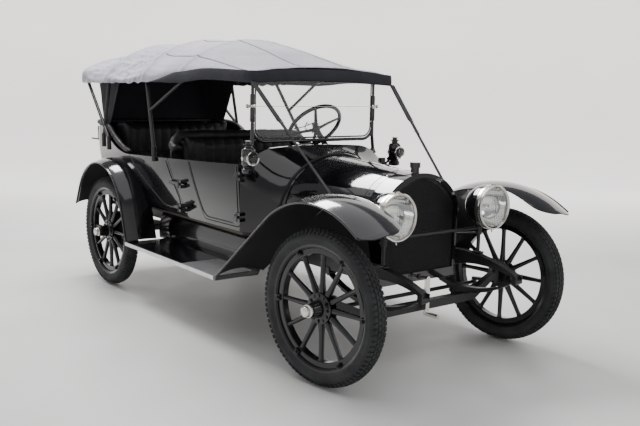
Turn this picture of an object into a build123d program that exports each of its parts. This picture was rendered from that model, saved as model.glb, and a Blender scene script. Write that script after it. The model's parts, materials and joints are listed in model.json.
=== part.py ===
"""Open four-door touring car of about 1915, as separate named sub-parts, in millimetres.

Frame: +X forward, +Y to the car's left, +Z up, origin on the ground below the middle of the car's box.
"""

import os
from math import acos, asin, atan2, cos, degrees, hypot, radians, sin, sqrt

from build123d import *

SIDES = (("right", -1), ("left", 1))

# Stance: wheels, axles and steering
wheelbase = 2642
track = 1422
wheel_radius = 412
tyre_width = 100
front_axle_x = 1496
rear_axle_x = front_axle_x - wheelbase
wheel_y = track / 2
kingpin_y = 636
parked_steer = 7.2
steer_limits = (-30, 30)
overrun = 20
running_clearance = 0.05
seat_clearance = 0.3
moving_gap = 5

# Wheels
tyre_height = 90
bead_radius = wheel_radius - tyre_height
rim_width = 74
rim_thickness = 10
felloe_depth = 34
felloe_width = 46
spoke_count = 12
spoke_root_width = 34
spoke_root_depth = 40
spoke_tip_width = 25
spoke_tip_depth = 29
hub_flange_radius = 82
hub_flange_thickness = 8
hub_spoke_width = 42
hub_radius = 44
hub_inner_reach = 40
cap_reach = 134
cap_radius = 29
cap_bead_radius = 34
cap_bead_width = 9
drum_radius = 140
drum_width = 44
drum_wall = 6
drum_offset = 14

# Front axle and knuckles
beam_drop = 95
beam_z = wheel_radius - beam_drop
beam_height = 50
beam_width = 44
beam_waist = 16
beam_flange = 12
beam_straight_y = 430
beam_top_z = 412
boss_radius = 24
boss_height = 56
kingpin_radius = 12
ear_thickness = 18
ear_gap = 1
hub_gap = 3
ear_radius = 22
spindle_radius = 21
spindle_neck = 26
arm_length = 150
arm_drop = 78
arm_width = 22
arm_pin_radius = 8
arm_pin_length = 40
tie_rod_radius = 12
tie_eye_radius = 18
tie_eye_height = 22

# Rear axle
axle_tube_radius = 34
differential_radius = 130
differential_width = 150
backing_radius = 146
backing_thickness = 5
rear_spindle_radius = 20
torque_tube_radius = 38
torque_tube_end_x = 40
torque_tube_end_z = 520

# Frame
rail_y = 361
rail_width = 44
rail_wall = 5
hanger_plate = 6
pan_thickness = 12
pan_foot_y = 352
rail_bottom_z = 500
rail_top_z = 596
rail_front_x = 1433
rail_rear_x = -1620
spring_eye_x = 1877
spring_eye_z = 481
crossmember_width = 60
crossmember_depth = 30
crossmember_places = (1310, 120, -760, -1560)

# Springs
leaf_width = 44
leaf_thickness = 6
front_leaf_count = 6
rear_leaf_count = 7
front_spring_rear_x = 1130
shackle_length = 58
quarter_leaf_count = 5
quarter_root_x = -1180
spring_eye_radius = 17
rear_spring_half = 560
rear_spring_rise = 55
rear_spring_y = 436

# Engine
engine_front_x = 1265
engine_rear_x = 740
engine_width = 260
engine_bottom_z = 430
engine_top_z = 960
engine_arm_depth = 24
gearbox_rear_x = torque_tube_end_x + 20

# Radiator and bonnet
radiator_front_x = 1480
radiator_rear_x = 1350
radiator_half_width = 290
radiator_shoulder_z = 880
radiator_bend_y = 185
radiator_bend_z = 1012
radiator_top_z = 1066
radiator_bottom_z = 455
radiator_bottom_band = 52
radiator_band = 26
radiator_core_inset = 12
filler_radius = 30
filler_top_z = 1122
bonnet_rear_x = 716
bonnet_sheet = 4
bonnet_hinge_gap = 4
bonnet_bottom_z = 700
hinge_rod_radius = 5
bonnet_front_top_z = 1064
bonnet_rear_top_z = 1107

# Body
cowl_rear_x = 480
firewall_hole_radius = 24
body_front_x = 512
body_sill_z = 640
body_waist_z = 860
body_top_z = 1216
body_wall = 42
body_mid_x = -450
body_corner_radius = 190
belt_front_z = 1056
belt_low_x = -945
belt_low_z = 1010
belt_rise_x = -1440
belt_rise_z = 1188
belt_rear_z = 1214
floor_thickness = 22

# Doors
door_gap = 5
front_door_front_x = 506
front_door_bottom_x = 84
front_door_top_x = -62
rear_door_front_x = -150
rear_door_front_top_x = -345
rear_door_bottom_x = -470
rear_door_fender_x = -832
rear_door_fender_z = 885
rear_door_rear_x = -938
door_bottom_z = 668
door_swing = 70
front_hinge_x = 509
front_hinge_y = 604
rear_hinge_x = -146
rear_hinge_y = 656
door_hinge_radius = 8
door_pin_radius = 4
door_hinge_height = 54
front_hinge_rows = ((985, 34, 40), (735, 34, 40))
rear_hinge_rows = ((872, 34, 150), (712, 34, 64))

# Fenders and running boards
sheet = 3
fender_outer_y = 800
front_fender_inner_y = 458
rear_fender_inner_y = 560
fender_crown = 38
fender_bead_radius = 6
front_extreme_x = 1922
board_front_x = 585
board_rear_x = -690
board_inner_y = 500
board_thickness = 22
board_top_z = 400
board_trim_width = 12
mat_rear_x = -560
mat_front_x = 150
apron_top_z = 590
apron_top_y = 470
apron_rear_x = -745
apron_front_x = 560

# Lamps
lamp_x = 1694
lamp_y = 370
lamp_z = 874
lamp_radius = 127
lamp_depth = 190
lamp_rim_width = 26
lamp_glass_thickness = 6
lamp_bar_z = 806
lamp_stem_foot_z = 594.5
lamp_bar_radius = 11
side_lamp_x = 607
side_lamp_y = 590
side_lamp_z = 1100
side_lamp_radius = 42
side_lamp_height = 120

# Windscreen
screen_x = 487
screen_foot_gap = 1
screen_bottom_z = 1188
screen_mid_z = 1404
screen_top_z = 1585
screen_half_width = 485
screen_tube_radius = 10
screen_glass_thickness = 5

# Top
canopy_thickness = 8
bow_radius = 13
bow_fitting_share = 1.35
curtain_half = 530
curtain_lap = 24
curtain_top_x = -1884
curtain_top_z = 1800
# The curtain's wings round the rear corners, as (X, Z): front top, front foot, tub, back edge
wing_outline = ((-1364, 1700), (-1364, 1541), (-1528, 1255), (-1562, 1200), (-1672, 1200), (-1724, 1216), (-1880, 1795))
rest_x = -1752
rest_end_x = -1895
rest_y = 545
rest_low_z = 1070
rest_high_z = 1178
rest_radius = 7
rest_reach = 90
bow_y = 572
bow_foot_y = 672

# Exhaust
exhaust_radius = 22
exhaust_manifold_z = 800
exhaust_z = 470
silencer_front_x = -180
silencer_rear_x = -700
silencer_radius = 62

# Controls: foot station, side, top station, top height, radius
control_rows = (
    (520, 250, 450, 760, 9),
    (520, 340, 450, 760, 9),
    (520, 430, 450, 760, 9),
    (330, 20, 290, 1010, 8),
    (330, 90, 240, 1060, 8),
)

# Seats: back's rear, back's front, cushion's front, half widths of seat and box, cushion's bottom and
# top, back's bottom and top
seat_table = (
    (-470, -380, 60, 540, 500, 840, 960, 860, 1190),
    (-1560, -1390, -960, 505, 460, 860, 980, 900, 1240),
)
seat_roll_radius = 45
seat_overhang = 12
seat_panel_z = 1120
seat_back_thickness = 130
cushion_height = 150

# Straps from the top to the frame: upper and lower ends on the left
strap_top = (588, 556, 1553.7)
strap_foot = (1345, 430, 835)
strap_radius = 6
strap_ratio = 0.6
bonnet_swing = 75

# Steering wheel and column
wheel_centre = (40, 330, 1250)
column_foot = (830, 317, 545)
steering_rim_radius = 200
steering_rim_tube = 12
steering_rim_sides = 12
parked_wheel_turn = 65
column_radius = 20
steering_hub_radius = 26
steering_shaft_radius = 9
spoke_bar_radius = 7
steering_spokes = 4


def save(part, name):
    """Labels a finished piece and writes it to its own file."""
    part.label = name
    export_step(part, f"parts/{name}.step")


def rod(start, end, radius):
    """A round bar from one point to another."""
    along = Vector(*end) - Vector(*start)
    with BuildPart() as bar:
        with BuildSketch(Plane(origin=start, z_dir=along)):
            Circle(radius)
        extrude(amount=along.length)
    return bar.part


def block(low, high):
    """A plain box between two corners."""
    with BuildPart() as box:
        with BuildSketch(Plane.XY.offset(low[2])):
            with Locations(((low[0] + high[0]) / 2, (low[1] + high[1]) / 2)):
                Rectangle(high[0] - low[0], high[1] - low[1])
        extrude(amount=high[2] - low[2])
    return box.part


def mirrored(part):
    """A piece and its mirror image across the car's middle plane, as one part."""
    with BuildPart() as pair:
        add(part)
        mirror(about=Plane.XZ)
    return pair.part


def flipped(part):
    """The mirror image of a piece across the car's middle plane."""
    with BuildPart() as image:
        mirror(part, about=Plane.XZ)
    return image.part


def steered(x, y, side):
    """A point of the straight-ahead steering, turned about its kingpin to where it parks."""
    turn = radians(parked_steer)
    dx = x - front_axle_x
    dy = y - side * kingpin_y
    return (
        front_axle_x + dx * cos(turn) - dy * sin(turn),
        side * kingpin_y + dx * sin(turn) + dy * cos(turn),
    )


def wheel_plane(front, side):
    """The plane of a wheel: its origin is the wheel's centre and its normal points outwards."""
    if not front:
        return Plane(origin=(rear_axle_x, side * wheel_y, wheel_radius), x_dir=(1, 0, 0), z_dir=(0, side, 0))
    x, y = steered(front_axle_x, side * wheel_y, side)
    turn = radians(parked_steer)
    outward = (-side * sin(turn), side * cos(turn), 0)
    return Plane(origin=(x, y, wheel_radius), x_dir=(cos(turn), sin(turn), 0), z_dir=outward)


def tyre():
    """One tyre about the Z axis: a round casing, open where the rim carries it."""
    with BuildPart() as casing:
        with BuildSketch(Plane.XZ):
            with Locations((wheel_radius - tyre_width / 2, 0)):
                Circle(tyre_width / 2)
            with Locations((bead_radius / 2, 0)):
                Rectangle(bead_radius, tyre_width + overrun, mode=Mode.SUBTRACT)
        revolve(axis=Axis.Z)
    return casing.part


def wood_wheel(with_drum):
    """One wooden artillery wheel about the Z axis, outer side up: rim, felloe, spokes, hub and cap."""
    rim_inner = bead_radius - rim_thickness
    felloe_inner = rim_inner - felloe_depth
    with BuildPart() as spoke:
        with BuildSketch(Plane.YZ.offset(hub_radius)):
            Ellipse(spoke_root_width / 2, spoke_root_depth / 2)
        with BuildSketch(Plane.YZ.offset(felloe_inner + overrun / 4)):
            Ellipse(spoke_tip_width / 2, spoke_tip_depth / 2)
        loft()
    with BuildPart() as wheel:
        with BuildSketch(Plane.XZ):
            with Locations((bead_radius - rim_thickness / 2, 0)):
                Rectangle(rim_thickness, rim_width)
            with Locations((rim_inner - felloe_depth / 2, 0)):
                Rectangle(felloe_depth, felloe_width)
        revolve(axis=Axis.Z)
        with PolarLocations(0, spoke_count):
            add(spoke.part)
        with BuildSketch(Plane.XZ):
            with BuildLine():
                half = hub_spoke_width / 2
                cap_bead = cap_reach - cap_bead_width
                Polyline(
                    (0, -hub_inner_reach),
                    (hub_radius, -hub_inner_reach),
                    (hub_radius, -half - hub_flange_thickness),
                    (hub_flange_radius, -half - hub_flange_thickness),
                    (hub_flange_radius, half + hub_flange_thickness),
                    (hub_radius, half + hub_flange_thickness),
                    (hub_radius, (half + cap_bead) / 2),
                    (cap_radius, (half + cap_bead) / 2),
                    (cap_radius, cap_bead),
                    (cap_bead_radius, cap_bead),
                    (cap_bead_radius, cap_reach),
                    (0, cap_reach),
                    close=True,
                )
            make_face()
        revolve(axis=Axis.Z)
        if with_drum:
            with BuildSketch(Plane.XY.offset(-drum_offset)):
                Circle(drum_radius)
            extrude(amount=-drum_width)
            with BuildSketch(Plane.XY.offset(-drum_offset - drum_width)):
                Circle(drum_radius - drum_wall)
            extrude(amount=drum_width - drum_wall, mode=Mode.SUBTRACT)
            with BuildSketch(Plane.XY.offset(-drum_offset - drum_wall)):
                Circle(hub_radius)
            extrude(amount=-(hub_inner_reach - drum_offset - drum_wall))
        bore_radius = (rear_spindle_radius if with_drum else spindle_radius) + running_clearance
        with BuildSketch(Plane.XY.offset(-hub_inner_reach - overrun)):
            Circle(bore_radius)
        extrude(amount=hub_inner_reach + overrun + hub_spoke_width, mode=Mode.SUBTRACT)
    return wheel.part


def placed(part, plane):
    """A copy of a piece, moved from the origin's frame into a plane's frame."""
    with BuildPart() as copy:
        with Locations(plane.location):
            add(part)
    return copy.part


def wheels():
    """The four wheels and tyres, at their stations."""
    rubber = tyre()
    for place, front in (("front", True), ("rear", False)):
        wood = wood_wheel(with_drum=not front)
        for name, side in SIDES:
            plane = wheel_plane(front, side)
            save(placed(rubber, plane), f"tyre_{place}_{name}")
            save(placed(wood, plane), f"wheel_{place}_{name}")


def front_axle():
    """A dropped forged beam with an eye for each kingpin and a pad for each spring."""
    with BuildPart() as axle:
        with BuildSketch(Plane.YZ.offset(front_axle_x - beam_width / 2)):
            half = beam_height / 2
            ends_z = beam_top_z
            with BuildLine():
                Polyline(
                    (0, beam_z - half),
                    (beam_straight_y, beam_z - half),
                    (kingpin_y - 2 * boss_radius, ends_z - half),
                    (kingpin_y, ends_z - half),
                    (kingpin_y, ends_z + half),
                    (kingpin_y - boss_radius, ends_z + half),
                    (beam_straight_y - boss_radius, beam_z + half),
                    (0, beam_z + half),
                    close=True,
                )
            make_face()
        extrude(amount=beam_width)
        mirror(about=Plane.XZ)
        for side in (-1, 1):
            with BuildSketch(Plane.XY.offset(wheel_radius - boss_height / 2)):
                with Locations((front_axle_x, side * kingpin_y)):
                    Circle(boss_radius)
            extrude(amount=boss_height)
            with BuildSketch(Plane.XY.offset(wheel_radius - boss_height)):
                with Locations((front_axle_x, side * kingpin_y)):
                    Circle(kingpin_radius + running_clearance)
            extrude(amount=2 * boss_height, mode=Mode.SUBTRACT)
            with BuildSketch(Plane.XY.offset(beam_z + half)):
                with Locations((front_axle_x, side * rail_y)):
                    Rectangle(2 * leaf_width, leaf_width)
            extrude(amount=leaf_thickness)
    return axle.part


def knuckle(side):
    """A steering knuckle straight ahead, turned about its kingpin to where it parks."""
    ear_low = wheel_radius - boss_height / 2 - ear_gap
    ear_high = wheel_radius + boss_height / 2 + ear_gap
    with BuildPart() as piece:
        with BuildSketch(Plane.XY.offset(ear_low - ear_thickness)):
            Circle(kingpin_radius)
        extrude(amount=ear_high - ear_low + 2 * ear_thickness)
        for start, amount in ((ear_low, -ear_thickness), (ear_high, ear_thickness)):
            with BuildSketch(Plane.XY.offset(start)):
                Circle(ear_radius)
                with Locations((0, side * (boss_radius + moving_gap) / 2)):
                    Rectangle(2 * ear_radius, boss_radius + moving_gap)
            extrude(amount=amount)
        inner = boss_radius + moving_gap / 2
        with BuildSketch(Plane.XZ.offset(-side * inner)):
            with Locations((0, wheel_radius)):
                Rectangle(2 * ear_radius, ear_high - ear_low + 2 * ear_thickness)
        extrude(amount=-side * moving_gap)
        with BuildSketch(Plane.XZ.offset(-side * inner)):
            with Locations((0, wheel_radius)):
                Circle(spindle_radius)
        extrude(amount=-side * (wheel_y - kingpin_y - inner + hub_spoke_width / 2))
        arm_z = ear_low - ear_thickness
        with BuildSketch(Plane.XZ.offset(arm_width / 2)):
            with BuildLine():
                Polyline(
                    (ear_radius, arm_z),
                    (ear_radius, arm_z + ear_thickness),
                    (-ear_radius, arm_z + ear_thickness),
                    (-arm_length - arm_width / 2, arm_z + ear_thickness / 2),
                    (-arm_length - arm_width / 2, arm_z - ear_thickness / 2),
                    (-ear_radius, arm_z),
                    close=True,
                )
            make_face()
        extrude(amount=-arm_width)
        with BuildSketch(Plane.XY.offset(arm_z)):
            with Locations((-arm_length, 0)):
                Circle(arm_pin_radius)
        extrude(amount=-arm_pin_length)
    plane = Plane(origin=(front_axle_x, side * kingpin_y, 0)).rotated((0, 0, parked_steer))
    return placed(piece.part, plane)


def tie_rod():
    """The rod between the two steering arms, with an eye round each arm's pin."""
    arm_z = wheel_radius - boss_height / 2 - ear_gap - ear_thickness
    eye_top = arm_z - ear_thickness / 2 - moving_gap / 2
    rod_z = eye_top - tie_eye_height / 2
    ends = [steered(front_axle_x - arm_length, side * kingpin_y, side) for side in (-1, 1)]
    with BuildPart() as link:
        add(rod((*ends[0], rod_z), (*ends[1], rod_z), tie_rod_radius))
        for x, y in ends:
            with BuildSketch(Plane.XY.offset(eye_top - tie_eye_height)):
                with Locations((x, y)):
                    Circle(tie_eye_radius)
            extrude(amount=tie_eye_height)
        for (x, y), gap in zip(ends, (seat_clearance, running_clearance)):
            with BuildSketch(Plane.XY.offset(eye_top - tie_eye_height - overrun)):
                with Locations((x, y)):
                    Circle(arm_pin_radius + gap)
            extrude(amount=tie_eye_height + 2 * overrun, mode=Mode.SUBTRACT)
    return link.part


def rear_axle():
    """Live axle: centre housing, tapering tubes, brake plates, spindles and the torque tube."""
    plate_y = wheel_y - drum_offset - drum_width - moving_gap - backing_thickness
    with BuildPart() as axle:
        with BuildSketch(Plane.XZ.offset(-plate_y)):
            with Locations((rear_axle_x, wheel_radius)):
                Circle(axle_tube_radius)
        extrude(amount=2 * plate_y)
        with BuildSketch(Plane.XY.offset(wheel_radius)):
            with Locations((rear_axle_x, 0)):
                Ellipse(differential_radius, differential_width / 2)
            with Locations((rear_axle_x, -differential_width)):
                Rectangle(2 * differential_radius + overrun, 2 * differential_width, mode=Mode.SUBTRACT)
        revolve(axis=Axis((rear_axle_x, 0, wheel_radius), (1, 0, 0)))
        for side in (-1, 1):
            with BuildSketch(Plane.XZ.offset(-side * plate_y)):
                with Locations((rear_axle_x, wheel_radius)):
                    Circle(backing_radius)
            extrude(amount=-side * backing_thickness)
            with BuildSketch(Plane.XZ.offset(-side * plate_y)):
                with Locations((rear_axle_x, wheel_radius)):
                    Circle(rear_spindle_radius)
            extrude(amount=-side * (wheel_y - plate_y + hub_spoke_width / 2))
        tube_start = (rear_axle_x, 0, wheel_radius)
        add(rod(tube_start, (torque_tube_end_x, 0, torque_tube_end_z), torque_tube_radius))
    return axle.part


def leaf_pack(centre_x, bottom_z, half_front, half_rear, rise, count, front_eye, rear_eye):
    """A semi-elliptic pack of leaves, each an arc longer than the one below it."""
    radius = (max(half_front, half_rear) ** 2) / (2 * rise)
    with BuildPart() as pack:
        for leaf in range(count):
            share = (leaf + 1) / count
            low = bottom_z + leaf * leaf_thickness
            with BuildSketch(Plane.XZ.offset(leaf_width / 2)) as band:
                with Locations((centre_x, low + radius)):
                    Circle(radius)
                with Locations((centre_x, low + radius)):
                    Circle(radius - leaf_thickness, mode=Mode.SUBTRACT)
                with BuildLine():
                    Polyline(
                        (centre_x - half_rear * share, low - radius),
                        (centre_x + half_front * share, low - radius),
                        (centre_x + half_front * share, low + rise + 2 * leaf_thickness),
                        (centre_x - half_rear * share, low + rise + 2 * leaf_thickness),
                        close=True,
                    )
                make_face(mode=Mode.INTERSECT)
            extrude(amount=-leaf_width)
        for x, z in (front_eye, rear_eye):
            with BuildSketch(Plane.XZ.offset(leaf_width / 2)):
                with Locations((x, z)):
                    Circle(spring_eye_radius)
            extrude(amount=-leaf_width)
    return pack.part


def springs():
    """Front half-elliptic and rear three-quarter-elliptic springs with their shackles."""
    pad_z = beam_z + beam_height / 2 + leaf_thickness
    front_half = spring_eye_x - front_axle_x
    rise = spring_eye_z - pad_z - front_leaf_count * leaf_thickness
    rear_half = front_axle_x - front_spring_rear_x
    rear_pad = wheel_radius + axle_tube_radius
    rear_eye_z = rear_pad + rear_leaf_count * leaf_thickness + rear_spring_rise
    with BuildPart() as pack:
        with Locations((0, rail_y, 0)):
            add(leaf_pack(front_axle_x, pad_z, front_half, rear_half, rise, front_leaf_count,
                          (spring_eye_x, spring_eye_z),
                          (front_spring_rear_x, rail_bottom_z - spring_eye_radius)))
        with Locations((0, rear_spring_y, 0)):
            add(leaf_pack(rear_axle_x, rear_pad, rear_spring_half, rear_spring_half, rear_spring_rise,
                          rear_leaf_count,
                          (rear_axle_x + rear_spring_half, rear_eye_z),
                          (rear_axle_x - rear_spring_half, rear_eye_z)))
        tail_x = rear_axle_x - rear_spring_half
        for plate_y in (rear_spring_y - leaf_width / 2 - hanger_plate, rear_spring_y + leaf_width / 2):
            add(block((tail_x - spring_eye_radius, plate_y, rear_eye_z - spring_eye_radius / 2),
                      (tail_x + spring_eye_radius, plate_y + hanger_plate,
                       rear_eye_z + shackle_length + spring_eye_radius / 2)))
        quarter_z = rear_eye_z + shackle_length
        for leaf in range(quarter_leaf_count):
            top = quarter_z + leaf_thickness * (quarter_leaf_count / 2 - leaf)
            root = (quarter_root_x - tail_x) * (1 - leaf / (2 * quarter_leaf_count))
            add(block((quarter_root_x - root, rear_spring_y - leaf_width / 2, top - leaf_thickness),
                      (quarter_root_x, rear_spring_y + leaf_width / 2, top)))
        with BuildSketch(Plane.XZ.offset(-rear_spring_y + leaf_width / 2)):
            with Locations((tail_x, quarter_z)):
                Circle(spring_eye_radius)
        extrude(amount=-leaf_width)
        add(block((quarter_root_x - 2 * rail_width, rail_y + rail_width / 2, quarter_z - rail_width / 2),
                  (quarter_root_x, rear_spring_y - leaf_width / 2, quarter_z + leaf_thickness)))
    return mirrored(pack.part)


def side_pan(side):
    """The sloping pan from a rail up to the ledge that the bonnet's lower edge rests on."""
    with BuildPart() as pan:
        for x, half in ((bonnet_rear_x, bonnet_rear_side[0]), (radiator_rear_x, bonnet_front_side[0])):
            with BuildSketch(Plane.YZ.offset(x)):
                with BuildLine():
                    edge_y = half - bonnet_sheet / 2
                    edge_z = bonnet_bottom_z - seat_clearance
                    Polyline(
                        (side * pan_foot_y, rail_top_z - rail_wall),
                        (side * (pan_foot_y + pan_thickness), rail_top_z - rail_wall),
                        (side * (edge_y + pan_thickness / 2), edge_z),
                        (side * (edge_y - pan_thickness / 2), edge_z),
                        close=True,
                    )
                make_face()
        loft(ruled=True)
    return pan.part


def frame():
    """Two pressed channel rails with forged front horns, crossmembers and board brackets."""
    with BuildPart() as rail:
        with BuildSketch(Plane.XZ.offset(-rail_y - rail_width / 2)):
            with BuildLine():
                horn = rail_top_z - rail_bottom_z
                Polyline(
                    (rail_rear_x, rail_bottom_z),
                    (rail_front_x, rail_bottom_z),
                    (rail_front_x, rail_top_z),
                    (rail_rear_x, rail_top_z),
                    close=True,
                )
            make_face()
        extrude(amount=rail_width)
        with BuildSketch(Plane.XZ.offset(-rail_y - rail_width / 2 + rail_wall)):
            with BuildLine():
                Polyline(
                    (rail_rear_x - overrun, rail_bottom_z + rail_wall),
                    (rail_front_x - horn, rail_bottom_z + rail_wall),
                    (rail_front_x - horn, rail_top_z - rail_wall),
                    (rail_rear_x - overrun, rail_top_z - rail_wall),
                    close=True,
                )
            make_face()
        extrude(amount=rail_width, mode=Mode.SUBTRACT)
        with BuildSketch(Plane.XZ.offset(-rail_y - rail_width / 2)):
            with BuildLine():
                tip_x = spring_eye_x
                tip_z = spring_eye_z
                eye = spring_eye_radius + rail_wall
                top = ThreePointArc(
                    (rail_front_x - eye, rail_top_z),
                    ((rail_front_x + tip_x) / 2, (rail_top_z + tip_z) / 2 + 2 * eye),
                    (tip_x, tip_z + eye + spring_eye_radius),
                )
                front = Line(top @ 1, (tip_x, tip_z + spring_eye_radius + seat_clearance))
                low = ThreePointArc(
                    front @ 1,
                    ((rail_front_x + tip_x) / 2, (rail_bottom_z + tip_z) / 2 + 2 * eye),
                    (rail_front_x - eye, rail_bottom_z),
                )
                Line(low @ 1, top @ 0)
            make_face()
        extrude(amount=rail_width)
        for x in (board_front_x - board_thickness * 4, (board_front_x + board_rear_x) / 2,
                  board_rear_x + board_thickness * 4):
            with BuildSketch(Plane.YZ.offset(x - rail_width / 2)):
                under = board_top_z - board_thickness - seat_clearance
                with BuildLine():
                    Polyline(
                        (rail_y + rail_width / 2 - rail_wall, rail_bottom_z),
                        (rail_y + rail_width / 2 - rail_wall, rail_top_z - rail_width),
                        (rail_y + rail_width / 2 + rail_wall, rail_top_z - rail_width),
                        (board_inner_y - rail_width / 2, under),
                        (fender_outer_y - rail_width, under),
                        (fender_outer_y - rail_width, under - rail_wall * 2),
                        (board_inner_y, under - rail_width / 2),
                        (board_inner_y - rail_width, under - rail_width / 2),
                        close=True,
                    )
                make_face()
            extrude(amount=rail_width)
    with BuildPart() as chassis:
        add(mirrored(rail.part))
        reach = rail_y + rail_width / 2 - rail_wall
        depth = crossmember_depth
        for x in crossmember_places:
            add(block((x - crossmember_width / 2, -reach, rail_top_z - rail_wall - depth),
                      (x + crossmember_width / 2, reach, rail_top_z - rail_wall)))
        crank_tube_x = crossmember_places[0]
        add(block((crank_tube_x - crossmember_width / 2, -crank_boss_radius, spring_eye_z - crank_boss_radius),
                  (crank_tube_x + crossmember_width / 2, crank_boss_radius, rail_top_z - rail_wall)))
        add(rod((crank_tube_x, 0, spring_eye_z), (radiator_front_x + moving_gap, 0, spring_eye_z),
                crank_boss_radius - moving_gap))
        with BuildSketch(Plane.YZ.offset(crank_tube_x - crossmember_width)):
            with Locations((0, spring_eye_z)):
                Circle(crank_radius + running_clearance)
        extrude(amount=radiator_front_x, mode=Mode.SUBTRACT)
        for side in (-1, 1):
            add(side_pan(side))
            for x, y, z, reach in (
                (spring_eye_x, rail_y, spring_eye_z, 2 * spring_eye_radius),
                (front_spring_rear_x, rail_y, rail_bottom_z - spring_eye_radius, 2 * spring_eye_radius),
            ):
                for face in (-1, 1):
                    plate_y = side * y + face * (leaf_width + hanger_plate) / 2
                    add(block((x - spring_eye_radius, plate_y - hanger_plate / 2, z - spring_eye_radius / 2),
                              (x + spring_eye_radius, plate_y + hanger_plate / 2, z + reach)))
            rear_z = wheel_radius + axle_tube_radius + rear_leaf_count * leaf_thickness + rear_spring_rise
            inner = rail_y + rail_width / 2 - rail_wall
            outer = rear_spring_y - leaf_width / 2
            low_y, high_y = sorted((side * inner, side * outer))
            front_eye = rear_axle_x + rear_spring_half
            add(block((front_eye - spring_eye_radius, low_y, rear_z - spring_eye_radius),
                      (front_eye + spring_eye_radius, high_y, rail_top_z - rail_wall)))
    return chassis.part


# Starting crank
crank_radius = 9
crank_boss_radius = 20
crank_arm_x = 1546
crank_throw = 200
crank_grip_reach = 1640
crank_grip_radius = 12


def starting_crank():
    """The starting handle: shaft, arm and grip."""
    with BuildPart() as crank:
        add(rod((crossmember_places[0] - crossmember_width / 2, 0, spring_eye_z),
                (crank_arm_x + crank_radius, 0, spring_eye_z), crank_radius))
        with BuildSketch(Plane.YZ.offset(crank_arm_x - crank_radius)):
            with Locations((0, spring_eye_z - crank_throw / 2)):
                SlotCenterToCenter(crank_throw, 3 * crank_radius, rotation=90)
        extrude(amount=2 * crank_radius)
        add(rod((crank_arm_x - crank_radius, 0, spring_eye_z - crank_throw),
                (crank_grip_reach, 0, spring_eye_z - crank_throw), crank_grip_radius))
    return crank.part




def engine():
    """Engine and gearbox as one plain block at their real place and size."""
    with BuildPart() as unit:
        half = engine_width / 2
        add(block((engine_rear_x, -half, engine_bottom_z), (engine_front_x, half, engine_top_z)))
        arm_z = rail_top_z - rail_wall - engine_arm_depth
        arm_y = rail_y + rail_width / 2 - rail_wall - seat_clearance
        for x in (engine_front_x - 2 * crossmember_width, engine_rear_x + 3 * crossmember_width):
            add(block((x - engine_arm_depth, -arm_y, arm_z), (x + engine_arm_depth, arm_y, arm_z + engine_arm_depth)))
        add(block((gearbox_rear_x, -half / 2, engine_bottom_z),
                  (engine_rear_x, half / 2, rail_top_z - crossmember_depth - 3 * moving_gap)))
    return unit.part


def arch_outline(top_z, bend, side_top, bottom_z):
    """A closed outline: a crown arc, two shoulder arcs that run on from it, sides and a bottom."""
    with BuildSketch() as outline:
        with BuildLine():
            crown = ThreePointArc((-bend[0], bend[1]), (0, top_z), bend)
            left = TangentArc(crown @ 1, side_top, tangent=crown % 1)
            right = TangentArc(crown @ 0, (-side_top[0], side_top[1]), tangent=-(crown % 0))
            down = Line(left @ 1, (side_top[0], bottom_z))
            across = Line(down @ 1, (-side_top[0], bottom_z))
            Line(across @ 1, right @ 1)
        make_face()
    return outline.sketch_local


def radiator_outline(inset, bottom_z):
    """The outline of the radiator, drawn in by an inset."""
    bend = (radiator_bend_y - inset / 2, radiator_bend_z - inset)
    side_top = (radiator_half_width - inset, radiator_shoulder_z - inset / 2)
    return arch_outline(radiator_top_z - inset, bend, side_top, bottom_z)


def radiator():
    """The radiator's shell with its filler, and the core set in it."""
    with BuildPart() as shell:
        with BuildSketch(Plane.YZ.offset(radiator_rear_x)):
            add(radiator_outline(0, radiator_bottom_z))
        extrude(amount=radiator_front_x - radiator_rear_x)
        with BuildSketch(Plane.YZ.offset(radiator_rear_x - overrun)):
            add(radiator_outline(radiator_band, radiator_bottom_z + radiator_bottom_band))
        extrude(amount=radiator_front_x - radiator_rear_x + 2 * overrun, mode=Mode.SUBTRACT)
        with BuildSketch(Plane.YZ.offset(radiator_rear_x - overrun)):
            with Locations((0, spring_eye_z)):
                Circle(crank_boss_radius - moving_gap + seat_clearance)
        extrude(amount=radiator_front_x - radiator_rear_x + 2 * overrun, mode=Mode.SUBTRACT)
        mid_x = (radiator_front_x + radiator_rear_x) / 2
        with BuildSketch(Plane.XY.offset(radiator_top_z - radiator_band / 2)):
            with Locations((mid_x, 0)):
                Circle(filler_radius * 0.8)
        extrude(amount=filler_top_z - radiator_top_z)
        with BuildSketch(Plane.XY.offset(filler_top_z)):
            with Locations((mid_x, 0)):
                Circle(filler_radius)
        extrude(amount=-filler_radius)
    with BuildPart() as core:
        with BuildSketch(Plane.YZ.offset(radiator_rear_x + radiator_core_inset)):
            add(radiator_outline(radiator_band + seat_clearance,
                                 radiator_bottom_z + radiator_bottom_band + seat_clearance))
        extrude(amount=radiator_front_x - radiator_rear_x - 2 * radiator_core_inset)
    return shell.part, core.part


# Bonnet sections: height of the crown, end of the crown's arc, end of the shoulder's arc
bonnet_rear_bend = (250, 1030)
bonnet_rear_side = (398, 815)
bonnet_front_bend = (180, 1014)
bonnet_front_side = (290, 876)


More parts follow.
